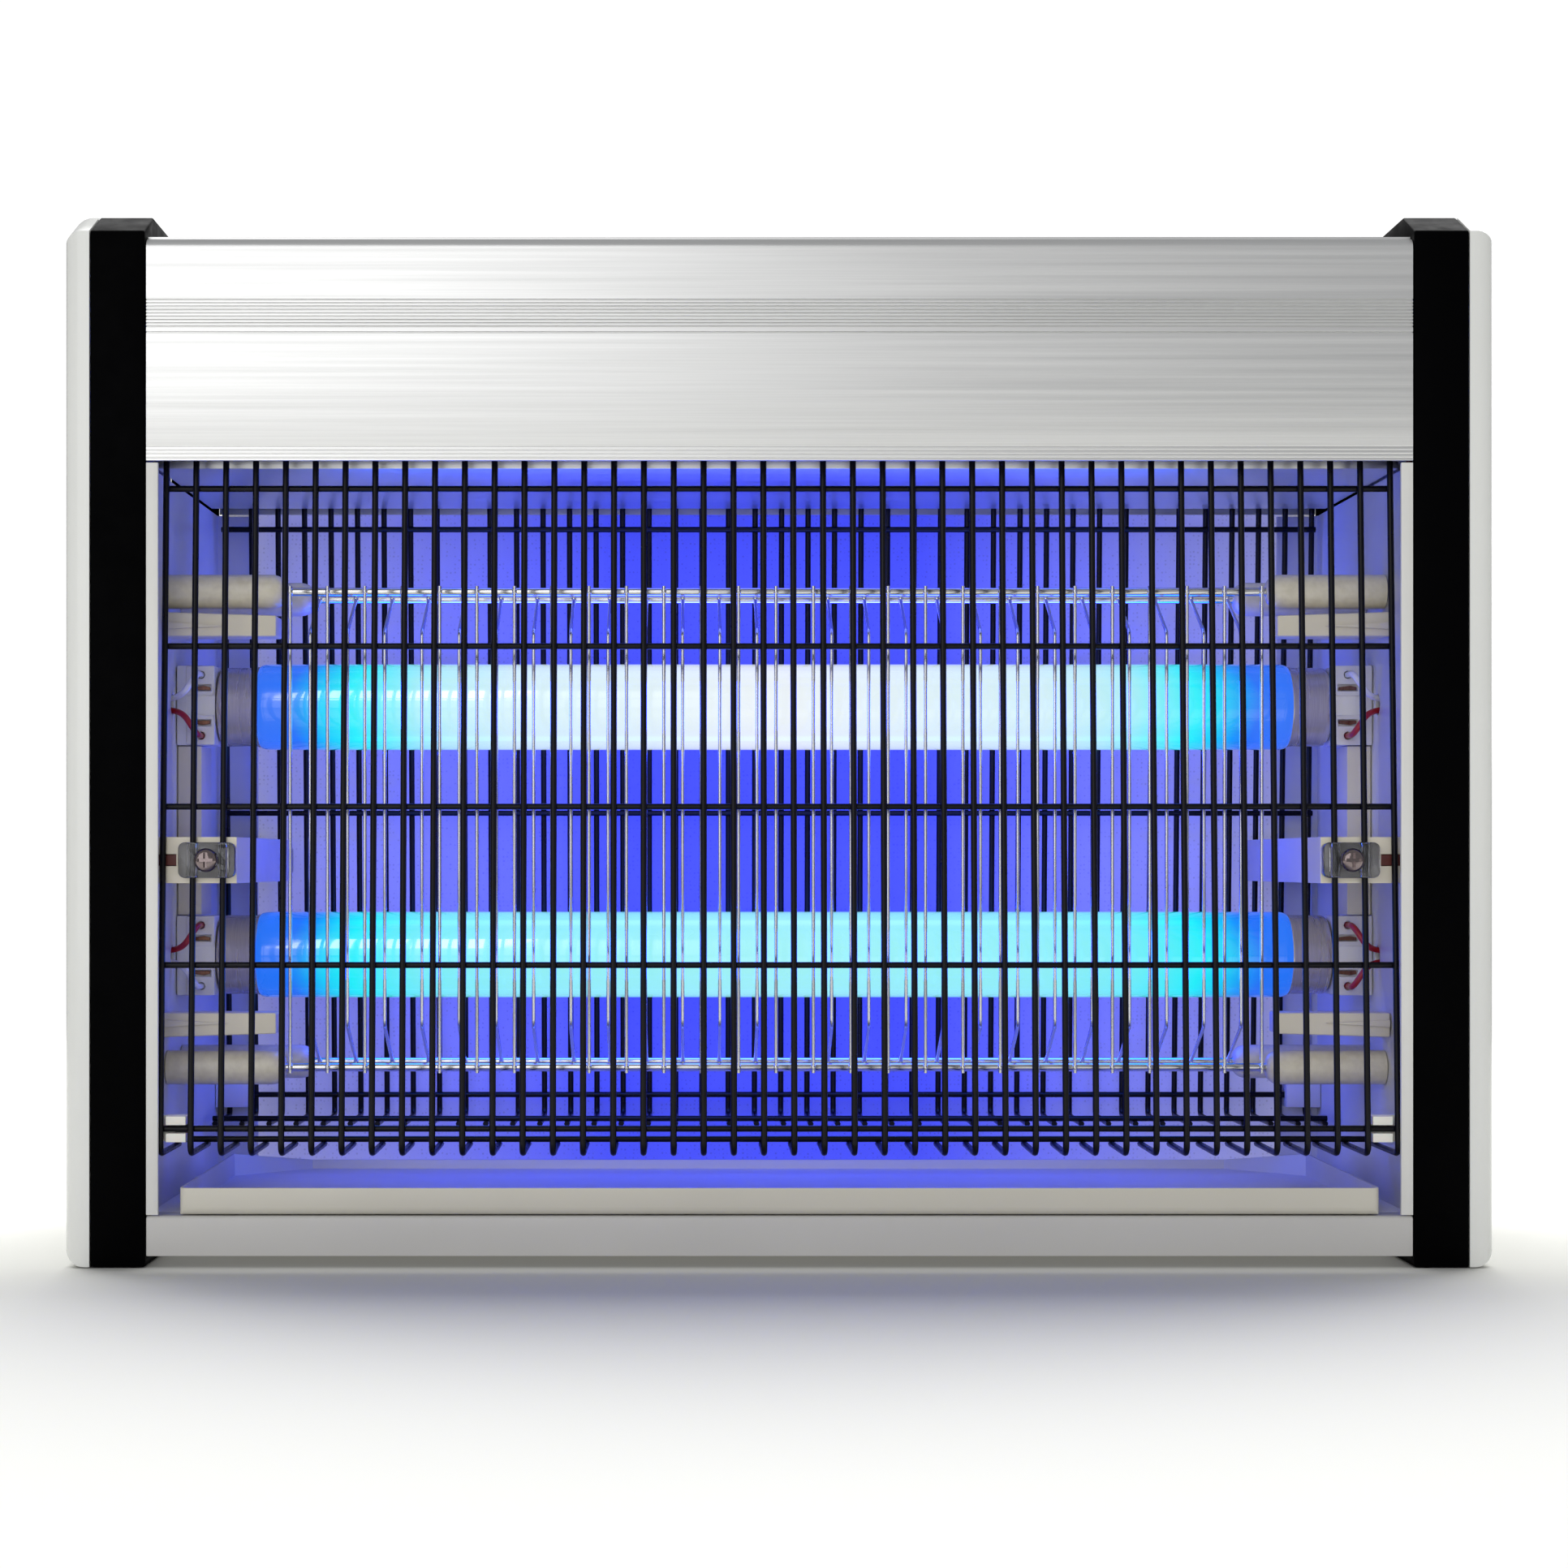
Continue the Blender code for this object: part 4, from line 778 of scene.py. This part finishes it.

# %% [markdown]
# ## Lampholders
# The holder is a small moulded block. Its imported shape is right, so a softened copy is kept,
# and a boolean cuts the seam between its two halves and the shallow step between the two
# terminals. A bent copper contact shows inside each slot; its dark colour is painted shade of the slot.

# %% Lampholders
def cutter(low, high):
    """A block between two corners, to cut with."""
    size = [b - a for a, b in zip(low, high)]
    middle = [(a + b) / 2 for a, b in zip(low, high)]
    bpy.ops.mesh.primitive_cube_add(size=1, location=middle)
    item = bpy.context.object
    item.scale = size
    settle(item)
    return item


def cut(item, tool):
    modify(item, "BOOLEAN", operation="DIFFERENCE", object=tool, solver="EXACT")
    bpy.data.objects.remove(tool)


def contact(name, sign, z, up):
    x = sign * terminal_x
    inner = z + up * 4.5 * MM
    outline = [(x - 2.6 * MM, inner), (x + 2.6 * MM, inner), (x + 2.6 * MM, inner + up * 0.9 * MM),
               (x + 0.8 * MM, inner + up * 1.3 * MM), (x - 2.6 * MM, inner + up * 0.9 * MM)]
    plate = bar(name, [(u, -15.6 * MM, v) for u, v in outline], (0, 1.0 * MM, 0))
    weld(plate)
    bevelled(plate, 0.12 * MM, 1)
    smooth(plate)
    return plate


for side, sign in (("left", -1), ("right", 1)):
    for level, z in lamp_levels.items():
        holder = soften(f"{side}_{level}_lampholder", HOLDER, "lampholder", 0.35 * MM)
        seam_x = sorted((sign * 173.6 * MM, sign * 173.95 * MM))
        cut(holder, cutter((seam_x[0], -17 * MM, z - 12.5 * MM), (seam_x[1], -15.6 * MM, z + 12.5 * MM)))
        step_x = sorted((sign * 165.0 * MM, sign * 173.6 * MM))
        cut(holder, cutter((step_x[0], -17 * MM, z - 2.9 * MM), (step_x[1], -15.4 * MM, z + 2.9 * MM)))
        smooth(holder)
        for end, up in (("top", 1), ("bottom", -1)):
            plate = contact(f"{side}_{level}_{end}_contact", sign, z, up)
            finish_piece(plate, COPPER_WITH_PAINTED_SLOT_SHADE, "root", None)
print("lampholders: 4, contacts: 8")

# %% [markdown]
# ## Lamp leads
# Each lead leaves its terminal, bows towards the wall, passes through it and runs up to the
# ballast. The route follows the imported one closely, with every corner eased into a curve,
# because a real lead never bends sharply.

# %% Leads
lead_diameter = 1.8 * MM
lead_pitch = 3 * MM


def lead(name, sign, index, z, up, ballast_x, finish, slot_name):
    lane_x = 183.5 * MM + index * lead_pitch
    lane_z = 231 * MM + index * lead_pitch
    hole_z = z + up * 1.7 * MM
    start_z = z + up * 9 * MM
    route = [(sign * terminal_x, -11.8 * MM, start_z), (sign * terminal_x, -23 * MM, start_z),
             (sign * 173.0 * MM, -24.2 * MM, hole_z + up * 1.5 * MM), (sign * wall_x, lead_y, hole_z),
             (sign * lane_x, lead_y, hole_z), (sign * lane_x, lead_y, lane_z),
             (ballast_x, lead_y, lane_z), (ballast_x, -15.2 * MM, lane_z)]
    item = wire(name, filleted(route, 5 * MM, 6), lead_diameter, 3)
    return finish_piece(item, finish, "root", slot_name, name.replace("_wire", ""))


colours = {"left": "WRRW", "right": "WRRR"}
for side, sign in (("left", -1), ("right", 1)):
    ends = [(level, end) for level in ("upper", "lower") for end in (("top", 1), ("bottom", -1))]
    for index, (level, (end, up)) in enumerate(ends):
        ballast_x = (90 + sign * (60 - 6 * (index + 1))) * MM
        red = colours[side][index] == "R"
        lead(f"{side}_{level}_{end}_lead_wire", sign, index, lamp_levels[level], up, ballast_x,
             RED_LEAD if red else WHITE_LEAD, "red_lead" if red else "white_lead")
print("leads: 8")

# %% [markdown]
# ## Clip screws
# A pan-head screw is spun from its profile, and a cross recess is cut into its head with two
# crossed blocks. A strip of red-brown laminate runs from each clip to the wall.

# %% Clip screws
def clip_screw(name, x, facing):
    """A screw along Y; facing is 1 at the front and -1 at the rear."""
    head = -61.36 * MM
    profile = [(-2.0, 0.0), (-1.96, 1.2), (-1.75, 2.2), (-1.3, 2.9), (-0.7, 3.3), (-0.15, 3.35),
               (0.0, 3.2), (0.0, 1.5), (13.2, 1.5), (14.0, 0.6), (14.0, 0.0)]
    z = clip_level
    points = [(x, head + d * MM, z + r * MM) for d, r in profile]
    item = spun(name, points, ((x, 0, z), (0, 1, 0)), 32)
    weld(item, flat=False)
    for wide, tall in ((2.1, 0.45), (0.45, 2.1)):
        low = (x - wide * MM, head - 3 * MM, z - tall * MM)
        high = (x + wide * MM, head - 0.4 * MM, z + tall * MM)
        cut(item, cutter(low, high))
    smooth(item, 35)
    if facing < 0:
        turned = mirrored(item, name, 1)
        bpy.data.objects.remove(item)
        item = turned
        item.name = name
        smooth(item, 35)
    return item


strip_half = Vector((6.8, 2.6, 1.55)) * MM
for side, sign in (("left", -1), ("right", 1)):
    for face, facing in (("front", 1), ("rear", -1)):
        item = clip_screw(f"{side}_{face}_screw", sign * 160.55 * MM, facing)
        finish_piece(item, ZINC, "root", "screw_steel", f"{side}_{face}_clip_screw")
        middle = Vector((sign * 169.65 * MM, -facing * 53.4 * MM, clip_level))
        slip = cutter(middle - strip_half, middle + strip_half)
        slip.name = f"{side}_{face}_nut_strip"
        bevelled(slip, 0.25 * MM, 2)
        smooth(slip)
        finish_piece(slip, BAKELITE, "root", None)
print("screws: 4")

# %% [markdown]
# ## The header
# The header is one aluminium extrusion: its section has a rounded crown under a small lip, a
# band of fine grooves, a few faint lines along its lower edge, and a thin wall. The section is
# drawn once and pushed through the whole width, as the real one is pushed through its die.

# %% Header extrusion
def header_face():
    """The front half of the outer section, from the bottom up, as (y, z) in millimetres."""
    face = -64.7
    points = [(face, 225.0)]
    for index in range(4):
        level = 225.6 + index * 1.05
        points += [(face, level), (face + 0.12, level + 0.15), (face, level + 0.3)]
    for index in range(10):
        level = 261.2 + index * 0.93 - (0.7 if index == 0 else 0)
        points += [(face, level), (face + 0.6, level + 0.12), (face + 0.6, level + 0.36),
                   (face, level + 0.48)]
    for step in range(7):
        angle = math.radians(15 * step)
        points.append((face + 2.9 * (1 - math.cos(angle)), 284.3 + 2.9 * math.sin(angle)))
    points += [(face + 3.3, 287.2), (face + 3.3, 288.0)]
    return points


front = header_face()
rear = [(-y, z) for y, z in reversed(front)]
inside = [(63.2, 225.0), (63.2, 283.0), (59.5, 286.5), (-59.5, 286.5), (-63.2, 283.0), (-63.2, 225.0)]
section = [(-wall_x, y * MM, z * MM) for y, z in front + rear + inside]
header = bar("header_extrusion", section, (2 * wall_x, 0, 0))
modify(header, "BEVEL", width=0.04 * MM, segments=1, limit_method="ANGLE", angle_limit=0.5)
smooth(header, 25)
finish_piece(header, ALUMINIUM, "root", "aluminium", "header_housing")
print("header section points:", len(section))

# %% [markdown]
# ## End caps
# A cap is a shallow gloss moulding with a generous outer radius. The side outline is filled and
# extruded, its outer edges get the radius, the open inner side loses its face, and Solidify
# gives it its wall. On the right one the holes for the switch and the cord inlet are then cut.

# %% End caps
cap_inner_x = 192.5 * MM
cap_width = 7.5 * MM
cap_radius = 6 * MM
cap_wall = 2.2 * MM


def end_cap(name):
    outline = [(-65, 0), (65, 0), (65, 289), (51.4, 295.5), (-51.4, 295.5), (-65, 289)]
    cap = bar(name, [(cap_inner_x, y * MM, z * MM) for y, z in outline], (cap_width, 0, 0))
    edit(cap)
    pick(cap, "EDGE", lambda edge: all(v.co.x > 199 * MM for v in edge.verts))
    bpy.ops.mesh.bevel(offset=cap_radius, segments=10, profile=0.5, affect="EDGES")
    bpy.ops.mesh.select_mode(type="FACE")
    pick(cap, "FACE", lambda face: face.normal.x < -0.9 and face.calc_center_median().x < 193 * MM)
    bpy.ops.mesh.delete(type="ONLY_FACE")
    leave_edit()
    modify(cap, "SOLIDIFY", thickness=cap_wall, offset=-1, use_even_offset=True)
    return cap


right_cap = end_cap("right_end_cap_shell")
left_cap = mirrored(right_cap, "left_end_cap_shell", 0)
cut(right_cap, cutter((190 * MM, 23.2 * MM, 152.2 * MM), (203 * MM, 36.8 * MM, 171.8 * MM)))
bpy.ops.mesh.primitive_cylinder_add(vertices=40, radius=5 * MM, depth=16 * MM,
                                    location=(200 * MM, 40 * MM, 26 * MM), rotation=(0, math.pi / 2, 0))
hole = bpy.context.object
settle(hole)
cut(right_cap, hole)
for side, cap in (("left", left_cap), ("right", right_cap)):
    smooth(cap, 28)
    finish_piece(cap, WHITE_CAP, "root", "white_cap", f"{side}_end_cap")
print("cap faces:", len(right_cap.data.polygons))

# %% [markdown]
# ## The tray
# The tray is one folded sheet. Its outline, with cut rear corners, is drawn and extruded, and
# the top is opened. The lower front fold is rounded, the rear rim is lowered, and Solidify
# gives the sheet its gauge.

# %% Collection tray
tray_base = 14.5 * MM
tray_rim = 7.6 * MM
tray_sheet = 0.8 * MM
plan = [(-167.5, -65), (167.5, -65), (167.5, 30.3), (145.5, 52.3), (-145.5, 52.3), (-167.5, 30.3)]
tray = bar("collection_tray_sheet", [(x * MM, y * MM, tray_base) for x, y in plan], (0, 0, tray_rim))
edit(tray)
pick(tray, "FACE", lambda face: face.normal.z > 0.9)
bpy.ops.mesh.delete(type="ONLY_FACE")
pick(tray, "EDGE", lambda edge: all(v.co.y < -64 * MM for v in edge.verts)
     and (min(v.co.z for v in edge.verts) < 15 * MM))
bpy.ops.mesh.bevel(offset=2.4 * MM, segments=6, affect="EDGES")
mesh = bmesh.from_edit_mesh(tray.data)
for vertex in mesh.verts:
    if vertex.co.y > 40 * MM and vertex.co.z > 20 * MM:
        vertex.co.z -= 4 * MM
bmesh.update_edit_mesh(tray.data)
leave_edit()
modify(tray, "SOLIDIFY", thickness=tray_sheet, offset=-1, use_even_offset=True)
bevelled(tray, 0.2 * MM, 2, 50)
smooth(tray, 35)
finish_piece(tray, TRAY_PAINT, "tray", "tray_paint", "collection_tray")
print("tray faces:", len(tray.data.polygons))

# %% [markdown]
# ## The room
# The body stands on a pale floor. A woven card closes the opening behind the rear guard. Its
# colour is grey at its ends and blue in the middle; this blue is painted lamp light, and the
# card's faint glow is painted light too. The card is one-sided: from behind it lets everything
# through, so the rear guard can be looked at too.

# %% Floor and card
bpy.ops.mesh.primitive_circle_add(vertices=128, radius=1.15, fill_type="NGON",
                                  location=(0, -0.1, -0.0003))
floor = bpy.context.object
floor.name = "floor"
FLOOR = new_finish("pale_floor", (0.86, 0.86, 0.82), 0.9, Specular_IOR_Level=0.1)
shade(FLOOR, grain(FLOOR, 3), (0.85, 0.85, 0.81), (0.86, 0.86, 0.82))
floor.data.materials.append(FLOOR)

bpy.ops.mesh.primitive_plane_add(size=1, location=(0, 0.0668, 0.1225), rotation=(math.pi / 2, 0, 0))
card = bpy.context.object
card.name = "backdrop_card"
card.scale = (0.352, 0.219, 1)
settle(card)
# The card glows faintly though it is no lamp: its emission is painted light.
CARD = new_finish("woven_card_painted_lamp_glow", (0.60, 0.60, 0.66), 0.95, Specular_IOR_Level=0.1,
                  Emission_Strength=0.2)
place = add(CARD, "TexCoord").outputs["Object"]
axes = add(CARD, "SeparateXYZ", [(0, place)])
outwards = add(CARD, "Math", [(0, axes.outputs["X"])], operation="ABSOLUTE")
spread = add(CARD, "MapRange", [("Value", outwards.outputs[0]), ("From Min", 0.05),
                                ("From Max", 0.165)])
# This ramp paints the tubes' blue light into the middle of the card, fading to grey at its ends: painted
# lamp light, not the cloth's own colour.
tone = add(CARD, "ValToRGB", [("Fac", spread.outputs[0])])
tone.color_ramp.elements[0].color = (0.15, 0.18, 0.70, 1)
tone.color_ramp.elements[1].color = (0.62, 0.62, 0.72, 1)
dots = add(CARD, "TexVoronoi", [("Vector", place), ("Scale", 760.0), ("Randomness", 0.25)])
weave = add(CARD, "MapRange", [("Value", dots.outputs["Distance"]), ("From Min", 0.15),
                               ("From Max", 0.4), ("To Min", 0.6), ("To Max", 1.0)])
weave_and_painted_lamp_glow = add(CARD, "VectorMath", [(0, tone.outputs[0]), (1, weave.outputs[0])],
            operation="MULTIPLY")
feed(CARD, "Base Color", weave_and_painted_lamp_glow.outputs[0])
feed(CARD, "Emission Color", weave_and_painted_lamp_glow.outputs[0])
output = CARD.node_tree.nodes["Material Output"]
hidden = add(CARD, "BsdfTransparent")
one_sided = add(CARD, "MixShader", [(0, add(CARD, "NewGeometry").outputs["Backfacing"]),
                                    (1, CARD.node_tree.nodes["Principled BSDF"].outputs[0]),
                                    (2, hidden.outputs[0])])
CARD.node_tree.links.new(one_sided.outputs[0], output.inputs["Surface"])
card.data.materials.append(CARD)
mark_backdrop(floor, card)
print("stage:", floor.name, card.name)

# %% [markdown]
# ## The light
# A white surround fills the picture behind the body, while a dimmer grey lights it, so metal
# has something darker to mirror. One big soft panel at the front left makes the left half of
# the brushed header shine, one overhead panel behind the body throws its soft shadow forward,
# a front fill lifts the white plastics, and a rear panel does the same for the back. A small
# panel puts a gloss line on the lamps alone, and a faint one under the body keeps the gap below
# the rail from going black. Thin blue strips round each tube do the lamps' work.

# %% Surround
world = bpy.data.worlds.new("studio_surround")
world.use_nodes = True
bpy.context.scene.world = world
sky = world.node_tree
sky.nodes.clear()
seen = sky.nodes.new("ShaderNodeBackground")
seen.inputs["Color"].default_value = (1, 1, 1, 1)
seen.inputs["Strength"].default_value = 1.05
lit = sky.nodes.new("ShaderNodeBackground")
lit.inputs["Color"].default_value = (0.97, 0.98, 1, 1)
lit.inputs["Strength"].default_value = 0.36
mixed = sky.nodes.new("ShaderNodeMixShader")
rays = sky.nodes.new("ShaderNodeLightPath")
out = sky.nodes.new("ShaderNodeOutputWorld")
sky.links.new(rays.outputs["Is Camera Ray"], mixed.inputs[0])
sky.links.new(lit.outputs[0], mixed.inputs[1])
sky.links.new(seen.outputs[0], mixed.inputs[2])
sky.links.new(mixed.outputs[0], out.inputs[0])
print("surround strength:", lit.inputs["Strength"].default_value)

# %% Panels and lamp strips
def panel_light(name, place, aim, size, watts, colour=(1, 1, 1), glossy=True, skip=(), only=()):
    """A soft rectangular light at a place, turned to face a point."""
    turn = (Vector(aim) - Vector(place)).to_track_quat("-Z", "Y").to_euler()
    bpy.ops.object.light_add(type="AREA", location=place, rotation=turn)
    light = bpy.context.object
    light.name = name
    light.data.shape = "RECTANGLE"
    light.data.size, light.data.size_y = size
    light.data.energy = watts
    light.data.color = colour
    light.visible_camera = False
    light.visible_glossy = glossy
    if skip or only:
        receivers = bpy.data.collections.new(name + "_receivers")
        for item in (*skip, *only):
            receivers.objects.link(item)
        light.light_linking.receiver_collection = receivers
        for entry in receivers.collection_objects:
            entry.light_linking.link_state = "EXCLUDE" if skip else "INCLUDE"
    return light


lamp_parts = [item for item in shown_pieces() if "_lamp_glass" in item.name or "_lamp_cap" in item.name]
caps = [item for item in lamp_parts if "_lamp_cap" in item.name]
panel_light("key_panel", (-1.13, -2.0, 0.9), (-1.13, 0, 0.9), (2.2, 1.8), 15, skip=[floor])
panel_light("front_fill", (0.1, -2.4, 0.45), (0, 0, 0.15), (2.4, 1.2), 11, glossy=False, skip=[floor])
panel_light("overhead_panel", (0, 0.75, 1.7), (0, -0.1, 0), (2.6, 1.2), 58, skip=[header])
panel_light("rear_panel", (0.5, 2.4, 1.0), (0, 0, 0.15), (2.4, 1.6), 12, skip=[floor])
panel_light("under_body_light", (0, -0.02, 0.0025), (0, -0.02, 0), (0.36, 0.11), 0.015, only=[floor])
panel_light("lamp_gloss_panel", (-0.34, -1.5, 0.99), (-0.14, 0, 0.12), (0.24, 0.8), 5,
            only=lamp_parts)
ring = 13.6 * MM
strip_size = (270 * MM, 14 * MM)
strip_blue = (0.008, 0.04, 1.0)
for level, height in lamp_levels.items():
    for name, across, up in (("front", -1, 0), ("rear", 1, 0), ("top", 0, 1), ("bottom", 0, -1)):
        place = (0, lamp_y + across * ring, height + up * ring)
        aim = (0, lamp_y + across, height + up)
        panel_light(f"{level}_{name}_strip", place, aim, strip_size, 0.11, strip_blue,
                    skip=[floor, *caps])
